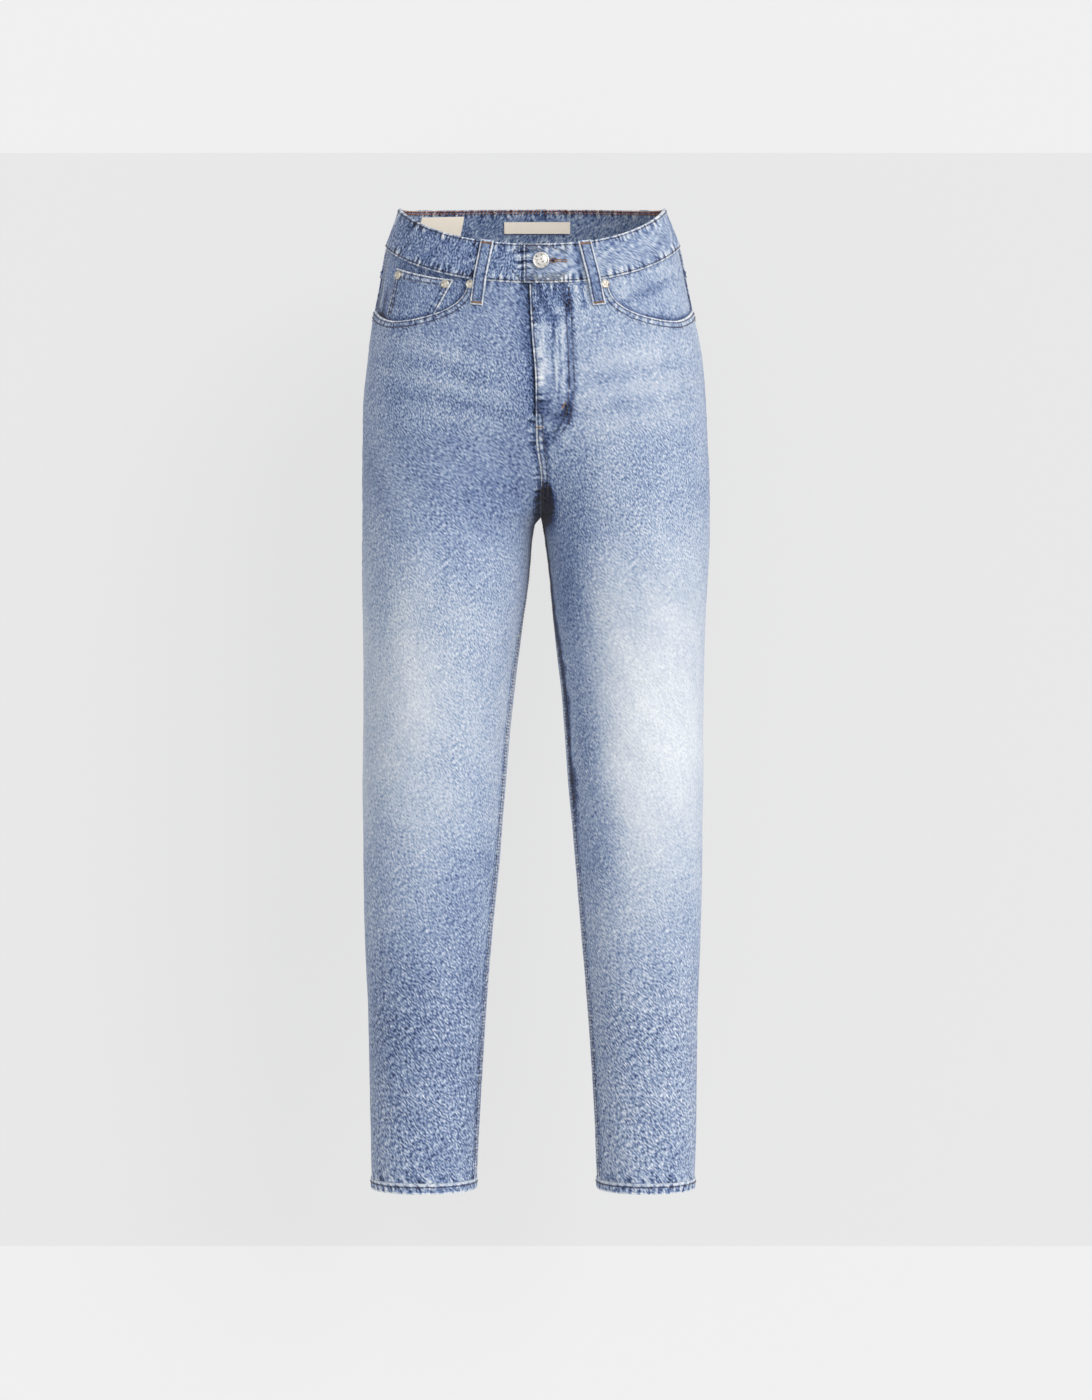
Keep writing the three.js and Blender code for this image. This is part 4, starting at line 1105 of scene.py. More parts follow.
# The band is a little darker all over, partly as painted shade, and pale and dark along its slanting
# pulls
band_wear_and_shade = wear_and_painted_light(band_points, band_out) - 0.06 + 0.36 * band_pull
for loop_side, loop_x, loop_lean in FRONT_LOOPS:
    loop_middle = loop_side * (loop_x - loop_lean * band_levels / LOOP_DROP)
    band_wear_and_shade = band_wear_and_shade - 0.7 * band_front * shade_left(loop_middle - HALF_LOOP - band_x, 0.5, 3.4)
beside_lap = shade_left(-BAND_OVER_END - band_x, 0.3, 3.0)
band_wear_and_shade = band_wear_and_shade - 0.8 * (on_left == 0) * band_front * beside_lap
# The eye of the buttonhole, beside the button: painted shade inside its stitches, for the open eye
HOLE_EYE, HOLE_Z, HOLE_RADIUS = 12.0, -66.5, 2.0
eye_gap = np.hypot(band_x - HOLE_EYE, band_points[..., 2] - HOLE_Z)
band_wear_and_shade = band_wear_and_shade - 1.2 * band_front * close_to(eye_gap, HOLE_RADIUS, 4)
band_marks = {"wear": band_wear_and_shade, "seam": band_seam, "along": band_along, "sewn": band_seam}
waistband = cloth_piece("waistband", LEFT, band_points, band_out, band_lift_out, DOUBLE_CLOTH,
                        band_relief, band_marks, BAND_DENIM, coarse=2)
settle(waistband, "waistband")

# Pocket facings: the denim seen inside the front pocket mouths. Each is a flat piece sewn to the
# hidden pocket bag, and is tucked under the front panel all along the mouth.
TRIM_CLOTH = 1.2
COIN_OUT = -DENIM - LAY_GAP
FACING_UNDER = 14.0
FACING_DENIM = denim("Facing denim", 0.9, 0.2, 0.5, 0.10)
FACING_OUT = {RIGHT: COIN_OUT - TRIM_CLOTH - LAY_GAP, LEFT: -DENIM - LAY_GAP}
FACING_CREASES = table("face x0 z0 x1 z1 width depth", [
    (-1, 84, -110, 150, -72, 6, 1.1),
    (-1, -84, -96, -158, -62, 7, 0.9),
    (-1, 100, -130, 150, -116, 8, 0.8),
])
# The shade beside the coin pocket, in shares of the mouth
COIN_SHADE_AT, COIN_SHADE_WIDE = 0.74, 0.05


def mouth_edge(side, count):
    """Points and ways out along the cut edge of a pocket mouth."""
    share = np.linspace(0, 1, count)
    return skin(side, mouth_turn(side, share, mouth_level(share)), mouth_level(share))


for facing_side in (RIGHT, LEFT):
    facing_name = f"pocket_facing_{SIDE_NAME[facing_side]}"
    facing_shares = spaced(60)
    facing_tuck = np.concatenate([[1.0, 0.66, 0.33], np.zeros(len(facing_shares))])
    facing_shares = np.concatenate([[0, 0, 0], facing_shares])
    facing_parts = spaced(40)
    facing_level = lerp(-BAND_HEIGHT - SEAM_GAP, mouth_level(facing_shares)[None, :] - FACING_UNDER,
                        facing_parts[:, None])
    tuck = facing_tuck[None, :] * FACING_UNDER / cloth_per_turn(facing_side, 0.15, facing_level)
    facing_turn = mouth_turn(facing_side, facing_shares[None, :], facing_level) - tuck
    facing_points, facing_face = skin(facing_side, facing_turn, facing_level)
    facing_seam, facing_along = along_lines(facing_points, [facing_points[0], facing_points[:, -1]])
    facing_relief = crumple(facing_points, facing_seam, facing_along, 0.5)
    creases = trough(FACING_CREASES, facing_points[..., 0], facing_points[..., 2], facing_face[..., 1])
    facing_relief = np.minimum((facing_relief - creases) * ease(0, 2.5, facing_seam), 0.25)
    under_mouth = gap_from(facing_points, mouth_edge(facing_side, 160)[0])
    facing_top = gap_from(facing_points, facing_points[0])
    # Painted shade in the creases, and painted shadow just under the mouth's edge and under the waistband
    facing_wear_and_shade = wear_and_painted_light(facing_points, facing_face) + 0.02 - 0.30 * creases
    facing_wear_and_shade = facing_wear_and_shade - 0.55 * close_to(under_mouth, 3.2) - 0.55 * close_to(facing_top + 0.6, 2.2)
    if facing_side == RIGHT:
        beside_coin = close_to(facing_shares[None, :] - COIN_SHADE_AT, COIN_SHADE_WIDE)
        facing_wear_and_shade = facing_wear_and_shade - 0.5 * beside_coin * (1 - ease(-92, -70, facing_level))
    facing_marks = {"wear": facing_wear_and_shade, "seam": facing_seam, "along": facing_along}
    facing = cloth_piece(facing_name, facing_side, facing_points, facing_face, FACING_OUT[facing_side],
                         DENIM, facing_relief, facing_marks, FACING_DENIM, inside=INSIDE_DENIM)
    settle(facing, facing_name)

# Coin pocket: a small patch on the right facing, with a double-turned top, a rivet at each
# top corner, and its lower end caught under the pocket mouth.
COIN_INNER_TOP, COIN_INNER_BOTTOM, COIN_OUTER_TOP, COIN_OUTER_BOTTOM = 0.09, 0.22, 0.60, 0.62
COIN_TOP_INNER, COIN_TOP_OUTER, COIN_UNDER = 44.0, 52.0, 6.0
COIN_HEM = 8.0
COIN_DENIM = denim("Coin pocket denim", 0.9, 0.6, 1.2, 0.08)


def coin_spot(across, down):
    """Turn and level of a place on the coin pocket."""
    inner = lerp(COIN_INNER_TOP, COIN_INNER_BOTTOM, down)
    outer = lerp(COIN_OUTER_TOP, COIN_OUTER_BOTTOM, down)
    share = lerp(inner, outer, across)
    level = lerp(-lerp(COIN_TOP_INNER, COIN_TOP_OUTER, across), mouth_level(share) - COIN_UNDER, down)
    return mouth_turn(RIGHT, share, level), level


coin_turn, coin_level = coin_spot(spaced(46, EDGE_LINES)[None, :], spaced(40, EDGE_LINES)[:, None])
coin_points, coin_face = skin(RIGHT, coin_turn, coin_level)
coin_seam, coin_along = along_lines(coin_points, [coin_points[0], coin_points[:, 0], coin_points[:, -1]])
coin_top_gap = gap_from(coin_points, coin_points[0])
coin_relief = crumple(coin_points, coin_seam, coin_along, 0.6) - 0.1
coin_relief = coin_relief + 0.35 * (1 - ease(COIN_HEM - 1, COIN_HEM + 0.5, coin_top_gap))
coin_relief = np.minimum(coin_relief * ease(0, 2.0, coin_seam), 0.5) - 0.30 * close_to(coin_seam, 0.6)
coin_under = gap_from(coin_points, mouth_edge(RIGHT, 160)[0])
coin_turned = 1 - ease(COIN_HEM - 1, COIN_HEM + 1, coin_top_gap)
# The turned top is paler with wear; the cloth just under the mouth's edge is darkened as painted shadow
coin_wear_and_shade = wear_and_painted_light(coin_points, coin_face) - 0.01 + 0.16 * coin_turned - 0.5 * close_to(coin_under, 3.0)
coin_marks = {"wear": coin_wear_and_shade, "seam": coin_seam, "along": coin_along, "sewn": coin_seam}
coin_pocket = cloth_piece("coin_pocket", RIGHT, coin_points, coin_face, COIN_OUT, TRIM_CLOTH,
                          coin_relief, coin_marks, COIN_DENIM)
settle(coin_pocket, "coin_pocket")

# Zip: a navy woven tape with a row of metal teeth. It is sewn under the closed fly and does
# not show from outside.
ZIP_TOP, ZIP_BOTTOM, ZIP_HALF_WIDTH = -46.0, -205.0, 13.0
TOOTH_PITCH, TOOTH_HIGH, TOOTH_REACH, TOOTH_PAST = 2.6, 1.5, 3.2, 0.8
TOOTH_OUT, TOOTH_IN = -1.65, -3.75


def zip_skin(across, level):
    per_turn = cloth_per_turn(LEFT, 0.003, level)
    return skin(LEFT, ZIP_HALF_WIDTH * across / per_turn, level)


zip_across, zip_levels = np.meshgrid(np.linspace(-1, 1, 27), np.linspace(ZIP_TOP, ZIP_BOTTOM, 80))
zip_points, zip_face = zip_skin(zip_across, zip_levels)


def woven_tape(name, fleck, tones, roughness):
    """Plain woven tape in two tones, and its weft for a bump."""
    material, tree, shader = new_material(name)
    weft = grain(tree, in_millimetres(tree, cloth_uv(tree)), 0, *fleck)
    feed(tree, shader, {"Base Color": two_tones(tree, ranged(tree, weft, -1, 1, 0, 1), *tones),
                        "Roughness": roughness})
    return material, tree, shader, weft


tape_material = woven_tape("Zip tape", (1.2, 0.5), ((24, 28, 44), (52, 60, 86)), 0.85)[0]
zip_tape = cloth_piece("zip", LEFT, zip_points, zip_face, COIN_OUT, TRIM_CLOTH,
                       np.zeros(zip_across.shape), {}, tape_material)
settle(zip_tape, "zip")


def metal(name, bright, dark, patina, roughness, hammer):
    """Worn nickel: bright, with a dark patina left in patches, and slightly hammered."""
    material, tree, shader = new_material(name)
    place = node(tree, "ShaderNodeTexCoord").outputs["Object"]
    patch = noise(tree, place, 3.0, 420.0, "3D")
    pits = node(tree, "ShaderNodeTexVoronoi", {"Vector": place, "Scale": 620.0}).outputs["Distance"]
    aged = ranged(tree, patch, patina, patina + 0.14, 0, 1, True)
    feed(tree, shader, {"Metallic": 1.0, "Base Color": two_tones(tree, aged, bright, dark),
                        "Roughness": ranged(tree, patch, 0.3, 0.7, roughness, roughness + 0.15),
                        "Normal": relief_bump(tree, 0.7, times(tree, pits, hammer))})
    return material


BRASS = metal("Zip teeth metal", (190, 160, 104), (90, 72, 44), 0.60, 0.35, 0.05)
tooth_vertices, tooth_faces = [], []
tooth_levels = np.arange(ZIP_TOP - 3, ZIP_BOTTOM + 3, -TOOTH_PITCH / 2)
tooth_spots, tooth_faces_out = zip_skin(0 * tooth_levels, tooth_levels)
for row, (spot, outward) in enumerate(zip(tooth_spots, tooth_faces_out)):
    start = -TOOTH_REACH if row % 2 else -TOOTH_PAST
    end = start + TOOTH_REACH + TOOTH_PAST
    base = len(tooth_vertices)
    for rise in (-TOOTH_HIGH / 2, TOOTH_HIGH / 2):
        for across, out in ((start, TOOTH_OUT), (end, TOOTH_OUT), (end, TOOTH_IN), (start, TOOTH_IN)):
            x, y, z = spot + outward * out
            tooth_vertices.append(((x + across) * MM, y * MM, (z + rise * 0.8) * MM))
    tooth_faces += [[base + k for k in face] for face in
                    ((3, 2, 1, 0), (4, 5, 6, 7), (0, 1, 5, 4), (1, 2, 6, 5), (2, 3, 7, 6), (3, 0, 4, 7))]
teeth_mesh = bpy.data.meshes.new("zip_teeth")
teeth_mesh.from_pydata(tooth_vertices, [], tooth_faces)
zip_teeth = add_object("zip_teeth", teeth_mesh)
teeth_mesh.materials.append(BRASS)
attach(zip_teeth, "root")

# Back pockets: five-sided patches of the panel denim, with a turned top and a point below.
# They are laid on the back panels and sewn round with two rows.
PATCH_INNER, PATCH_LEAN, PATCH_TOP_WIDTH, PATCH_BOTTOM_WIDTH = 25.0, 8.0, 144.0, 122.0
PATCH_TOP, PATCH_SIDE, PATCH_POINT = 130.0, 134.0, 18.0
PATCH_HEM = 14.0
PATCH_DENIM = denim("Back pocket denim", 1.0, 0.65, 0.9)


def patch_bottom(share):
    return -PATCH_TOP - PATCH_SIDE - PATCH_POINT * (1 - np.abs(2 * share - 1))


def patch_turn(side, share, level):
    down = (-PATCH_TOP - level) / PATCH_SIDE
    width = lerp(PATCH_TOP_WIDTH, PATCH_BOTTOM_WIDTH, down)
    from_centre = PATCH_INNER + PATCH_LEAN * down + width * share
    return 1 - from_centre / cloth_per_turn(side, 0.85, -(PATCH_TOP + PATCH_SIDE / 2))


for patch_side in (RIGHT, LEFT):
    patch_name = f"back_pocket_{SIDE_NAME[patch_side]}"
    patch_shares = 1 - spaced(62, EDGE_LINES)[None, :]
    patch_level = lerp(-PATCH_TOP, patch_bottom(patch_shares), spaced(60, EDGE_LINES)[:, None])
    patch_turns = patch_turn(patch_side, patch_shares, patch_level)
    patch_points, patch_face = skin(patch_side, patch_turns, patch_level)
    patch_edges = [patch_points[0], patch_points[:, 0], patch_points[:, -1], patch_points[-1]]
    patch_seam, patch_along = along_lines(patch_points, patch_edges)
    patch_top_gap = gap_from(patch_points, patch_points[0])
    patch_relief = crumple(patch_points, patch_seam, patch_along)
    patch_relief = patch_relief + 0.5 * (1 - ease(PATCH_HEM - 1, PATCH_HEM + 1, patch_top_gap))
    patch_relief = patch_relief + 1.4 * ease(0, 45, patch_seam)
    patch_relief = turned_in(patch_relief, patch_seam, 2.2, 0.35, 0.6)
    patch_wear = wear_and_painted_light(patch_points, patch_face) + 0.06 * close_to(patch_seam, 16)
    patch_marks = {"wear": patch_wear, "seam": patch_seam, "along": patch_along, "sewn": patch_seam}
    patch = cloth_piece(patch_name, patch_side, patch_points, patch_face, LAY_GAP + TRIM_CLOTH,
                        TRIM_CLOTH, patch_relief, patch_marks, PATCH_DENIM)
    settle(patch, patch_name)

# Belt loops: five strips of denim 13 mm wide, folded in three. They are tacked above and below
# the waistband and stand off it between.
LOOP_WIDTH, LOOP_THICK, LOOP_TOP, LOOP_BOTTOM, LOOP_BULGE = 13.0, 1.8, 1.0, -LOOP_DROP, 1.6
LOOP_DENIM = denim("Belt loop denim", 0.8, 0.7, 0.4, 0.06, 0.0)
LOOPS = {
    **{f"belt_loop_front_{SIDE_NAME[side]}": (side, float(front_turn_at(side, x, 0.0)), lean)
       for side, x, lean in FRONT_LOOPS},
    "belt_loop_back_right": (RIGHT, 0.7, 0.0),
    "belt_loop_back_left": (LEFT, 0.7, 0.0),
    "belt_loop_centre": (LEFT, 1.0, 0.0),
}


def loop_place(loop, across, down):
    """Turn, level and height off the skin of a place on a belt loop; across is in millimetres."""
    side, turn, lean = LOOPS[loop]
    level = lerp(LOOP_TOP, LOOP_BOTTOM, down)
    on_band = ease(-BAND_HEIGHT - 10, -BAND_HEIGHT, level)
    out = LAY_GAP + BAND_PROUD * on_band + LOOP_THICK + LOOP_BULGE * np.sin(math.pi * down)
    return turn + (lean * down + across) / cloth_per_turn(side, turn, level), level, out


for loop_name, (loop_side, _, _) in LOOPS.items():
    loop_across = LOOP_WIDTH * (spaced(14, LOOP_EDGE_LINES)[None, :] - 0.5)
    loop_down = spaced(52, LOOP_EDGE_LINES)[:, None]
    loop_turn, loop_level, loop_out = loop_place(loop_name, loop_across, loop_down)
    loop_points, loop_face = skin(loop_side, loop_turn, loop_level)
    loop_edges = [loop_points[0], loop_points[-1], loop_points[:, 0], loop_points[:, -1]]
    loop_seam, loop_along = along_lines(loop_points, loop_edges)
    groove = 0.35 * close_to(loop_across, 1.2)
    loop_relief = 0.3 * soft_noise(loop_points[..., 2] / 7, loop_across / 9, 9) - groove
    loop_relief = turned_in(loop_relief, loop_seam, 2, 0.45, 0.6)
    loop_wear = 0.24 + 0.1 * soft_noise(loop_points[..., 2] / 9, loop_points[..., 0] / 9, 10)
    from_side = LOOP_WIDTH / 2 - np.abs(loop_across)
    loop_marks = {"wear": loop_wear, "seam": loop_seam, "along": loop_along, "sewn": from_side}
    loop = cloth_piece(loop_name, loop_side, loop_points, loop_face, loop_out, LOOP_THICK, loop_relief,
                       loop_marks, LOOP_DENIM)
    settle(loop, loop_name)

# Hems: each leg end is folded double, stitched round near its top, and roped by the wash
# into slanting puckers.
HEM_TOP, HEM_BOTTOM, HEM_PROUD, HEM_THICK = -1008.5, -1019.5, 0.7, 2.8
HEM_PUCKERS, HEM_PUCKER, HEM_ROW = 34, 0.55, -1012.2
HEM_DENIM = denim("Hem denim", 0.9, 0.35, 0.9, 0.08, 0.0)
for hem_side in (RIGHT, LEFT):
    hem_name = f"hem_{SIDE_NAME[hem_side]}"
    hem_turn, hem_down = np.meshgrid(np.linspace(0, 1, 260, endpoint=False), np.linspace(0, 1, 13))
    hem_level = lerp(HEM_TOP, HEM_BOTTOM, hem_down)
    hem_points, hem_face = skin(hem_side, hem_turn, hem_level)
    wander = 0.7 * soft_noise(hem_turn * 17, 0 * hem_down, 12)
    rope = np.sin(2 * math.pi * (HEM_PUCKERS * hem_turn + 0.55 * hem_down) + 2.4 * wander)
    strength = 0.7 + 0.5 * soft_noise(hem_turn * 31, 0 * hem_down, 13)
    belly = np.sin(math.pi * lerp(0.1, 0.9, hem_down))
    hem_relief = HEM_PUCKER * rope * strength * belly - 0.5 * (1 - ease(0, 0.12, 1 - hem_down))
    hem_gap = np.abs(hem_level - HEM_BOTTOM)
    hem_wear = 0.30 + 0.42 * rope * strength * belly
    hem_wear = hem_wear + 0.42 * ease(HEM_ROW + 0.4, HEM_ROW + 1.6, hem_level)
    hem_wear = hem_wear + 0.25 * (1 - ease(0.4, 2.2, hem_level - HEM_BOTTOM))
    from_row = np.abs(hem_level - HEM_ROW) + ROW_GAPS[0]
    hem_marks = {"wear": hem_wear, "seam": hem_gap, "along": hem_turn * HEM_ROUND, "sewn": from_row}
    hem = cloth_piece(hem_name, hem_side, hem_points, hem_face, HEM_PROUD, HEM_THICK, hem_relief,
                      hem_marks, HEM_DENIM, ring=True, coarse=2)
    settle(hem, hem_name)

# Labels: two blank cream woven tapes. They are sewn inside the back of the waistband, one at the
# centre back and one at its right.
LABEL_THICK = 1.0
LABEL_OUT = BAND_PROUD - DOUBLE_CLOTH - LAY_GAP
CENTRE_LABEL_WIDTH, CENTRE_LABEL_TOP, CENTRE_LABEL_HEIGHT, CENTRE_LABEL_SHIFT = 66.0, -13.0, 12.0, -2.0
SIDE_LABEL_FROM, SIDE_LABEL_TO, SIDE_LABEL_TOP, SIDE_LABEL_HEIGHT = 0.69, 0.82, -7.0, 22.0
label_material, label_tree, label_shader, label_weft = woven_tape(
    "Cream tape", (2.4, 0.4), ((255, 238, 214), (255, 250, 238)), 0.8)
label_bump = relief_bump(label_tree, 0.5, times(label_tree, label_weft, 0.08))
feed(label_tree, label_shader, {"Normal": label_bump})
label_parts, label_drops = np.meshgrid(np.linspace(0, 1, 40), np.linspace(0, 1, 9))
centre_level = CENTRE_LABEL_TOP - CENTRE_LABEL_HEIGHT * label_drops
centre_across = CENTRE_LABEL_WIDTH * (label_parts - 0.5) - CENTRE_LABEL_SHIFT
centre_turn = 1 + centre_across / cloth_per_turn(LEFT, 0.99, centre_level)
centre_points, centre_face = skin(LEFT, centre_turn, centre_level)
label_centre = cloth_piece("label_centre", LEFT, centre_points, centre_face, LABEL_OUT, LABEL_THICK,
                           np.zeros(label_parts.shape), {}, label_material, coarse=1)
settle(label_centre, "label_centre")
side_level = SIDE_LABEL_TOP - SIDE_LABEL_HEIGHT * label_drops
side_turn = lerp(SIDE_LABEL_FROM, SIDE_LABEL_TO, label_parts)
side_points, side_face = skin(RIGHT, side_turn, side_level)
label_side = cloth_piece("label_side", RIGHT, side_points, side_face, LABEL_OUT, LABEL_THICK,
                         np.zeros(label_parts.shape), {}, label_material, coarse=1)
settle(label_side, "label_side")

# Topstitching: thick grey-brown lockstitch along the seams and edges, rust inside the band,
# dark brown at the hems and ginger on the tacks. The ends of each stitch dip into the cloth.
STITCH_PITCH, STITCH_SHARE, STITCH_RADIUS, STITCH_SIDES = 3.3, 0.68, 0.46, 5
# Rings of one stitch: their places along it, their lift and their width in radii
STITCH_PARTS = (0.0, 0.22, 0.78, 1.0)
STITCH_LIFTS = (-0.9, 0.5, 0.5, -0.9)
STITCH_WIDTHS = (0.6, 1.0, 1.0, 0.6)
# The lowest stitch of the fly and of the seat seam, above the fork
FORK_STITCH = -314
CAST_FROM = 7.0


def thread(name, light, dark):
    """Spun polyester thread: two tones along its length and a slight gloss."""
    material, tree, shader = new_material(name)
    tone = noise(tree, node(tree, "ShaderNodeTexCoord").outputs["Object"], 2.0, 160.0, "3D")
    feed(tree, shader, {"Base Color": two_tones(tree, ranged(tree, tone, 0.35, 0.65, 0, 1), light, dark),
                        "Roughness": 0.6})
    return material


def cast(point, outward, pieces, inside=False):
    """Nearest place on the face of the pieces, along the way into them, or None."""
    way = Vector(-outward if not inside else outward)
    start = Vector(point * MM) - way * CAST_FROM * MM
    hits = [SURFACES[piece].ray_cast(start, way, 2.2 * CAST_FROM * MM) for piece in pieces]
    hits = [hit for hit in hits if hit[0] is not None]
    return min(hits, key=lambda hit: hit[3])[0] if hits else None


def sew(side, line, outward, pieces, offset=0.0, inside=False, pitch=STITCH_PITCH):
    """Stitches along a line of the cloth, moved sideways by the offset: starts, ends and
    outward directions."""
    tangent = np.gradient(line, axis=0)
    sideways = side * np.cross(outward, tangent)
    sideways /= np.linalg.norm(sideways, axis=-1, keepdims=True)
    line = line + sideways * offset
    lengths = np.concatenate([[0], np.cumsum(np.linalg.norm(np.diff(line, axis=0), axis=-1))])
    made = []
    for start in np.arange(0.4, lengths[-1] - pitch * STITCH_SHARE, pitch):
        ends = []
        for spot in (start, start + pitch * STITCH_SHARE):
            point = np.array([np.interp(spot, lengths, line[:, k]) for k in range(3)])
            way = np.array([np.interp(spot, lengths, outward[:, k]) for k in range(3)])
            way /= np.linalg.norm(way)
            ends.append((cast(point, way, pieces, inside), -way if inside else way))
        (first, out), (second, _) = ends
        if first is not None and second is not None and (first - second).length < 1.6 * pitch * MM:
            made.append((np.array(first), np.array(second), out))
    return made


def sew_at(side, turn, level, pieces, offsets=(0.0,), **how):
    """Rows of stitches along turns and levels of the cloth, one row for each offset."""
    line, outward = skin(side, turn, level)
    return [stitch for offset in offsets for stitch in sew(side, line, outward, pieces, offset, **how)]


def tack(centre, along, outward, pieces, long, high, pitch=0.75):
    """A bar tack: close short stitches, side by side along a bar, laid across it."""
    across = np.cross(outward, along)
    across /= np.linalg.norm(across)
    made = []
    for place in np.arange(-long / 2, long / 2 + 0.01, pitch):
        ends = [cast(centre + along * place + across * half * high, outward, pieces)
                for half in (-0.5, 0.5)]
        if ends[0] is not None and ends[1] is not None:
            made.append((np.array(ends[0]), np.array(ends[1]), outward))
    return made


def thread_piece(name, made, material, radius=STITCH_RADIUS):
    """One joined mesh of all the stitches of a group."""
    starts, ends, outs = (np.array(part) for part in zip(*made))
    run = ends - starts
    length = np.linalg.norm(run, axis=1, keepdims=True)
    run = run / length
    across = np.cross(outs, run)
    across /= np.linalg.norm(across, axis=1, keepdims=True)
    outs = np.cross(run, across)
    lifts, widths = np.array(STITCH_LIFTS) * radius * MM, np.array(STITCH_WIDTHS) * radius * MM
    centre = (starts[:, None] + run[:, None] * (length * np.array(STITCH_PARTS))[:, :, None]
              + outs[:, None] * lifts[None, :, None])
    angle = 2 * math.pi * np.arange(STITCH_SIDES) / STITCH_SIDES
    spokes = (np.cos(angle)[None, :, None] * across[:, None]
              + np.sin(angle)[None, :, None] * outs[:, None])
    rings = centre[:, :, None] + widths[None, :, None, None] * spokes[:, None]
    ring_count = len(STITCH_PARTS)
    one = [[k * STITCH_SIDES + a, k * STITCH_SIDES + (a + 1) % STITCH_SIDES,
            (k + 1) * STITCH_SIDES + (a + 1) % STITCH_SIDES, (k + 1) * STITCH_SIDES + a]
           for k in range(ring_count - 1) for a in range(STITCH_SIDES)]
    one.append(list(reversed(range(STITCH_SIDES))))
    one.append([(ring_count - 1) * STITCH_SIDES + a for a in range(STITCH_SIDES)])
    size_of_one = ring_count * STITCH_SIDES
    faces = [[v + n * size_of_one for v in face] for n in range(len(starts)) for face in one]
    mesh = bpy.data.meshes.new(name)
    mesh.from_pydata(rings.reshape(-1, 3).tolist(), [], faces)
    mesh.polygons.foreach_set("use_smooth", [True] * len(mesh.polygons))
    mesh.materials.append(material)
    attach(add_object(name, mesh), "root")


BROWN_THREAD = thread("Grey-brown thread", (96, 82, 78), (56, 48, 50))
HEM_THREAD = thread("Dark brown thread", (86, 66, 56), (52, 40, 36))
RUST_THREAD = thread("Rust thread", (176, 126, 104), (124, 86, 72))
GINGER_THREAD = thread("Ginger thread", (166, 126, 88), (118, 86, 58))

front_rows, back_rows, band_rows, hem_rows, inside_rows, tack_rows = [], [], [], [], [], []
LEFT_OF_EDGE = tuple(-gap for gap in ROW_GAPS)
for side in (RIGHT, LEFT):
    of_side = SIDE_NAME[side]
    panel, patch_name = f"front_panel_{of_side}", f"back_pocket_{of_side}"
    for offset in LEFT_OF_EDGE:
        front_rows += sew(side, *mouth_edge(side, 120), [panel], offset)
    level = np.linspace(-BAND_HEIGHT - 3, -118, 60)
    on_outseam = [panel, f"pocket_facing_{of_side}"]
    front_rows += sew_at(side, mouth_turn(side, 1, level), level, on_outseam, (-2.2,))
    level = np.linspace(-330, HEM_SEAM, 300)
    front_rows += sew_at(side, front_edge_turn(side, level), level, [panel], ROW_GAPS)
    share = np.linspace(0, 1, 120)
    level = yoke_level(share)
    back_rows += sew_at(side, back_turn(side, share, level), level, [f"yoke_{of_side}"], ROW_GAPS)
    for inset in ROW_GAPS:
        margin = inset / PATCH_BOTTOM_WIDTH
        down = np.linspace(0.01, 1, 60)
        share = np.concatenate([np.full(60, margin), np.linspace(margin, 1 - margin, 80),
                                np.full(60, 1 - margin)])
        low = patch_bottom(share) + inset * 1.05
        level = np.concatenate([lerp(-PATCH_TOP - 2, low[:60], down), low[60:140],
                                lerp(-PATCH_TOP - 2, low[140:], down[::-1])])
        back_rows += sew_at(side, patch_turn(side, share, level), level, [patch_name])
    share = np.linspace(0.02, 0.98, 80)
    for drop in (2.2, 12.0):
        level = np.full(80, -PATCH_TOP - drop)
        back_rows += sew_at(side, patch_turn(side, share, level), level, [patch_name])
    hem_rows += sew_at(side, np.linspace(0, 1, 500), np.full(500, HEM_ROW), [f"hem_{of_side}"], pitch=3.0)

for inset in ROW_GAPS:
    coin_row = coin_spot(np.linspace(0.03, 0.97, 60), np.full(60, inset / 52))
    front_rows += sew_at(RIGHT, *coin_row, ["coin_pocket"])
for across_at in (0.97, 0.89, 0.03):
    coin_row = coin_spot(np.full(50, across_at), np.linspace(0.02, 0.85, 50))
    front_rows += sew_at(RIGHT, *coin_row, ["coin_pocket"])

FLY_SEAMS = ((-42, FLY_END, 90, ROW_GAPS[:1]), (FLY_END, FORK_STITCH, 60, ROW_GAPS))
for top, bottom, count, offsets in FLY_SEAMS:
    level = np.linspace(top, bottom, count)
    front_rows += sew_at(LEFT, front_edge_turn(LEFT, level), level, ["front_panel_left"], offsets)
level = np.linspace(-BAND_HEIGHT - 2, FORK_STITCH, 160)
back_rows += sew_at(LEFT, np.ones_like(level), level, ["yoke_left", "back_panel_left"], LEFT_OF_EDGE)

# The way out of the front, and planes in front of the fly and the band that stitches are cast from
front_way = np.array([0.0, -1.0, 0.0])
FLY_PLANE, BAND_PLANE = -96.0, -92.0
fly_spots = np.linspace(0, len(FLY_CURVE["x"]) - 1, 140)
fly_x, fly_z = (np.interp(fly_spots, range(len(places)), places) for places in FLY_CURVE.values())
fly_line = np.stack([fly_x, np.full(140, FLY_PLANE), fly_z], -1)
for offset in (0.0, -FLY_ROW_GAP):
    front_rows += sew(LEFT, fly_line, np.tile(front_way, (140, 1)), ["front_panel_left"], offset)

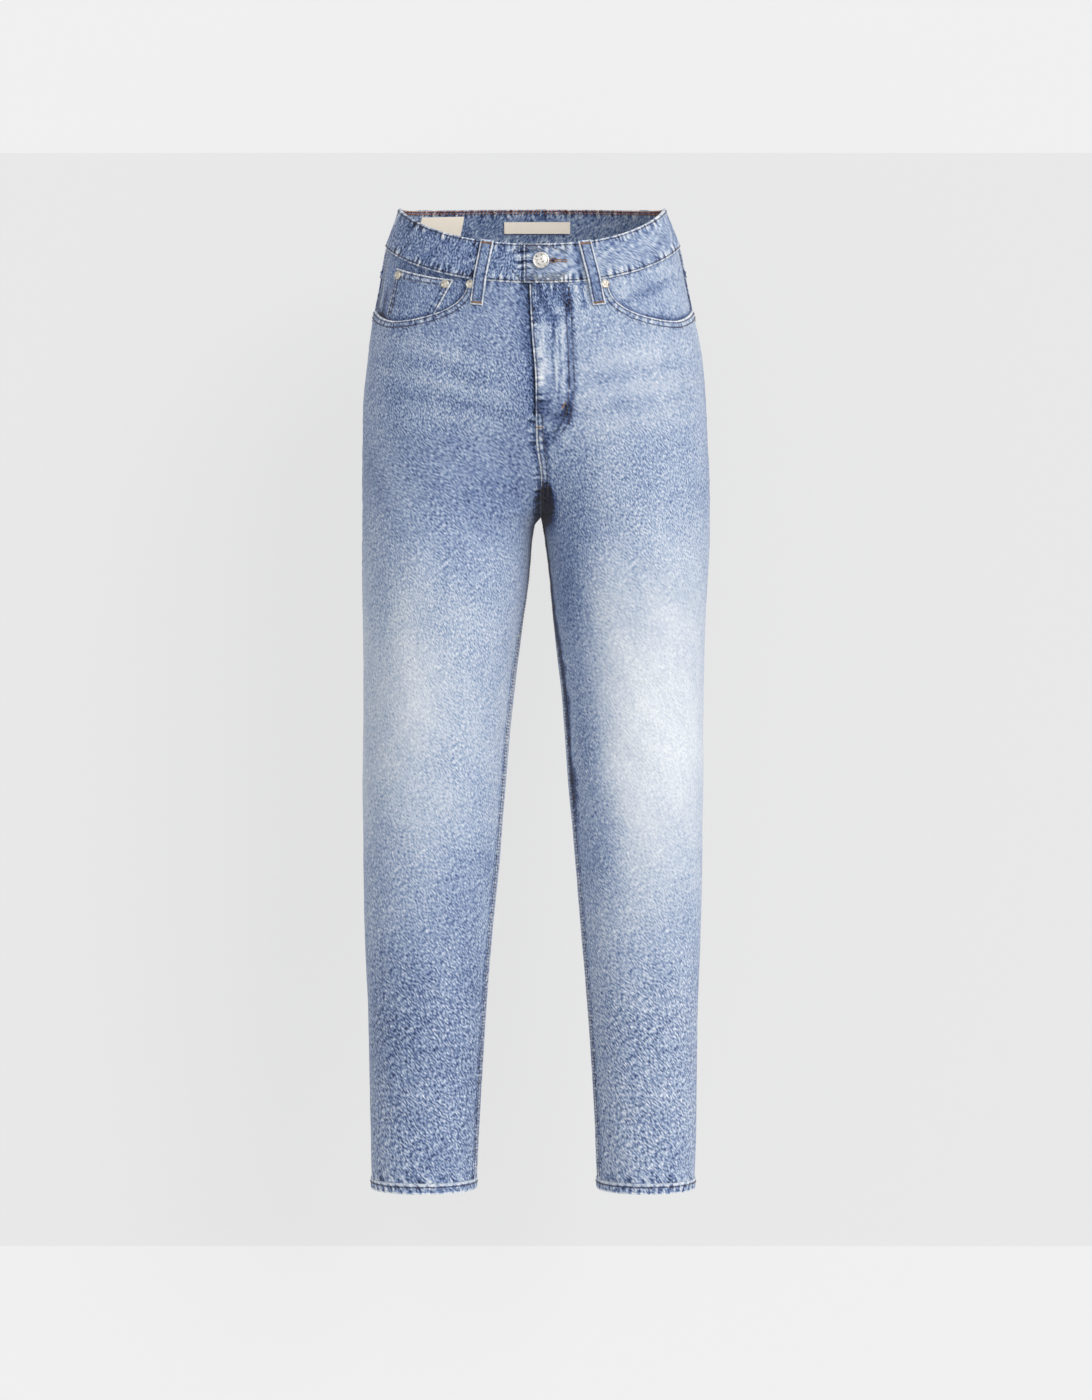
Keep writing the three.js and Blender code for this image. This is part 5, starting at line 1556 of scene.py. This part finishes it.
for level_at in (-ROW_GAPS[0], ROW_GAPS[0] - BAND_HEIGHT):
    per_turn = float(cloth_per_turn(LEFT, 0.003, level_at))
    for side, start in ((LEFT, ROW_GAPS[0] - BAND_OVER_END), (RIGHT, BAND_OVER_END)):
        turn = np.linspace(start / per_turn, 1, 520)
        band_rows += sew_at(side, turn, np.full(520, level_at), ["waistband"])
level = np.linspace(-3, -BAND_HEIGHT + 3, 40)
end_turn = (ROW_GAPS[0] - BAND_OVER_END) / cloth_per_turn(LEFT, 0.003, level)
band_rows += sew_at(LEFT, end_turn, level, ["waistband"])
for side in (RIGHT, LEFT):
    for level_at in (-1.4, -3.9):
        inside_rows += sew_at(side, np.linspace(0.3, 1, 400), np.full(400, level_at), ["waistband"],
                              inside=True, pitch=3.6)

for loop_name, (side, _, _) in LOOPS.items():
    for across in (ROW_GAPS[0] - LOOP_WIDTH / 2, LOOP_WIDTH / 2 - ROW_GAPS[0]):
        turn, level, _ = loop_place(loop_name, across, np.linspace(0.05, 0.95, 60))
        band_rows += sew_at(side, turn, level, [loop_name])
    for down in (0.045, 0.955):
        turn, level, _ = loop_place(loop_name, np.array([-5.0, 0.0, 5.0]), down)
        spots, ways = skin(side, turn, level)
        bar = (spots[2] - spots[0]) / np.linalg.norm(spots[2] - spots[0])
        tack_rows += tack(spots[1], bar, ways[1], [loop_name], 10.5, 2.4)
# Tacks of the fly: place, slant in degrees and length
for x, z, slant, long in ((23.4, -213.0, 62, 8), (-1.5, -234.8, 0, 8)):
    bar = np.array([math.cos(math.radians(slant)), 0.0, math.sin(math.radians(slant))])
    tack_rows += tack(np.array([x, FLY_PLANE, z]), bar, front_way,
                      ["front_panel_left", "front_panel_right"], long, 1.8)

# Buttonhole: a slit beside the button in the band's left end, bound with close ginger
# stitches on both sides and a bar at its end.
HOLE_FROM, HOLE_TO, HOLE_STITCH, HOLE_RING = 14.0, 25.0, 1.5, 2.4
hole_bar, hole_end = np.array([1.0, 0.0, 0.0]), np.array([0.0, 0.0, 1.0])
for side_of in (-0.95, 0.95):
    middle = np.array([(HOLE_FROM + HOLE_TO) / 2, BAND_PLANE, HOLE_Z + side_of])
    tack_rows += tack(middle, hole_bar, front_way, ["waistband"], HOLE_TO - HOLE_FROM, HOLE_STITCH, 0.8)
for angle in np.radians(range(0, 360, 18)):
    spoke = np.array([math.cos(angle), 0.0, math.sin(angle)])
    turned = np.array([-math.sin(angle), 0.0, math.cos(angle)])
    eye = np.array([HOLE_EYE, BAND_PLANE, HOLE_Z]) + HOLE_RING * spoke
    tack_rows += tack(eye, turned, front_way, ["waistband"], 0.0, HOLE_STITCH)
end_spot = np.array([HOLE_TO + 0.6, BAND_PLANE, HOLE_Z])
tack_rows += tack(end_spot, hole_end, front_way, ["waistband"], 3.6, 1.6)
thread_piece("topstitching_front", front_rows, BROWN_THREAD)
thread_piece("topstitching_back", back_rows, BROWN_THREAD)
thread_piece("topstitching_band", band_rows, BROWN_THREAD)
thread_piece("topstitching_hems", hem_rows, HEM_THREAD, 0.5)
thread_piece("topstitching_inside_band", inside_rows, RUST_THREAD, 0.95)
thread_piece("tacks", tack_rows, GINGER_THREAD, 0.34)

# Waist button: a nickel shank button with a raised rim and a domed, hammered middle, worn to
# a dark patina in places. Its shank passes through the buttonhole.
BUTTON_RADIUS, BUTTON_LEVEL = 8.5, -17.6
BUTTON_METAL = metal("Button metal", (226, 223, 218), (80, 72, 68), 0.53, 0.30, 0.12)
RIVET_METAL = metal("Rivet metal", (214, 208, 196), (88, 78, 68), 0.57, 0.38, 0.10)


def joined(name, parts, material):
    """One object of the primitives in parts, at the origin, with smooth rounded faces."""
    bpy.ops.object.select_all(action="DESELECT")
    for part in parts:
        part.select_set(True)
    bpy.context.view_layer.objects.active = parts[0]
    bpy.ops.object.join()
    made = bpy.context.view_layer.objects.active
    made.name = name
    made.data.name = name
    bpy.ops.object.shade_smooth_by_angle(angle=math.radians(40))
    made.data.materials.clear()
    made.data.materials.append(material)
    return made


def disc(radius, low, high, bevel, sides=48):
    """A round plate with rounded rims, from one height to another."""
    bpy.ops.object.select_all(action="DESELECT")
    bpy.ops.mesh.primitive_cylinder_add(vertices=sides, radius=radius * MM, depth=(high - low) * MM,
                                        location=(0, 0, (low + high) / 2 * MM))
    plate = bpy.context.view_layer.objects.active
    bpy.ops.object.transform_apply(location=True, rotation=True, scale=True)
    rounding = plate.modifiers.new("Rounding", "BEVEL")
    rounding.width, rounding.segments = bevel * MM, 3
    rounding.limit_method = "ANGLE"
    bpy.ops.object.modifier_apply(modifier="Rounding")
    return plate


def hoop(radius, thick, height):
    bpy.ops.object.select_all(action="DESELECT")
    bpy.ops.mesh.primitive_torus_add(major_radius=radius * MM, minor_radius=thick * MM, major_segments=48,
                                     minor_segments=12, location=(0, 0, height * MM))
    bpy.ops.object.transform_apply(location=True, rotation=True, scale=True)
    return bpy.context.view_layer.objects.active


def dome(radius, rise, height):
    bpy.ops.object.select_all(action="DESELECT")
    bpy.ops.mesh.primitive_uv_sphere_add(segments=40, ring_count=20, radius=radius * MM,
                                         location=(0, 0, height * MM), scale=(1, 1, rise / radius))
    bpy.ops.object.transform_apply(location=True, rotation=True, scale=True)
    return bpy.context.view_layer.objects.active


def seat_matrix(side, turn, level, out):
    """Places a hard piece on the cloth: its own axis along the way out, its top edge up."""
    seat, way = skin(side, turn, level)
    seat = seat + way * out
    per_turn = cloth_per_turn(side, turn, level)
    along = skin(side, turn + 3 / per_turn, level)[0] - skin(side, turn - 3 / per_turn, level)[0]
    up = skin(side, turn, level + 3)[0] - skin(side, turn, level - 3)[0]
    axis = Vector(np.cross(along, up) * side).normalized()
    up = (Vector(up) - axis * Vector(up).dot(axis)).normalized()
    across = up.cross(axis)
    turned = Matrix((across, up, axis)).transposed().to_4x4()
    return Matrix.Translation(Vector(seat * MM)) @ turned


button = joined("waist_button", [
    disc(BUTTON_RADIUS, 0.6, 2.4, 0.5), hoop(BUTTON_RADIUS - 1.0, 0.95, 2.3),
    dome(BUTTON_RADIUS - 2.3, 1.2, 2.3), disc(3.4, -1.8, 0.9, 0.2, 24)], BUTTON_METAL)
button.data.transform(seat_matrix(LEFT, 0.0, BUTTON_LEVEL, BAND_PROUD + BAND_LAP + LAY_GAP))
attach(button, "root")
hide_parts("button")

# Rivets: small domed copper-alloy rivets, nickel plated, at the ends of the pocket mouths
# and the top corners of the coin pocket.
RIVET_LEVEL, RIVET_INSET = -46.0, 3.0
RIVETS = {
    **{f"rivet_mouth_{SIDE_NAME[side]}":
       (side, float(front_turn_at(side, MOUTH_RIVET_X[side] - RIVET_INSET, RIVET_LEVEL)),
        RIVET_LEVEL, LAY_GAP)
       for side in (RIGHT, LEFT)},
    "rivet_coin_inner": (RIGHT, float(mouth_turn(RIGHT, 0.145, -50.5)), -50.5, COIN_OUT + LAY_GAP),
    "rivet_coin_outer": (RIGHT, float(mouth_turn(RIGHT, 0.55, -58.0)), -58.0, COIN_OUT + LAY_GAP),
}
rivet_parts = [disc(4.4, -0.6, 0.9, 0.35, 40), hoop(3.3, 0.75, 0.95), dome(1.5, 0.7, 0.9)]
rivet = joined("rivet", rivet_parts, RIVET_METAL)
for rivet_name, (side, turn, level, out) in RIVETS.items():
    own = add_object(f"{rivet_name}_head", rivet.data.copy())
    own.data.transform(seat_matrix(side, turn, level, out))
    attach(own, "root")
    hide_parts(rivet_name)
bpy.data.objects.remove(rivet, do_unlink=True)
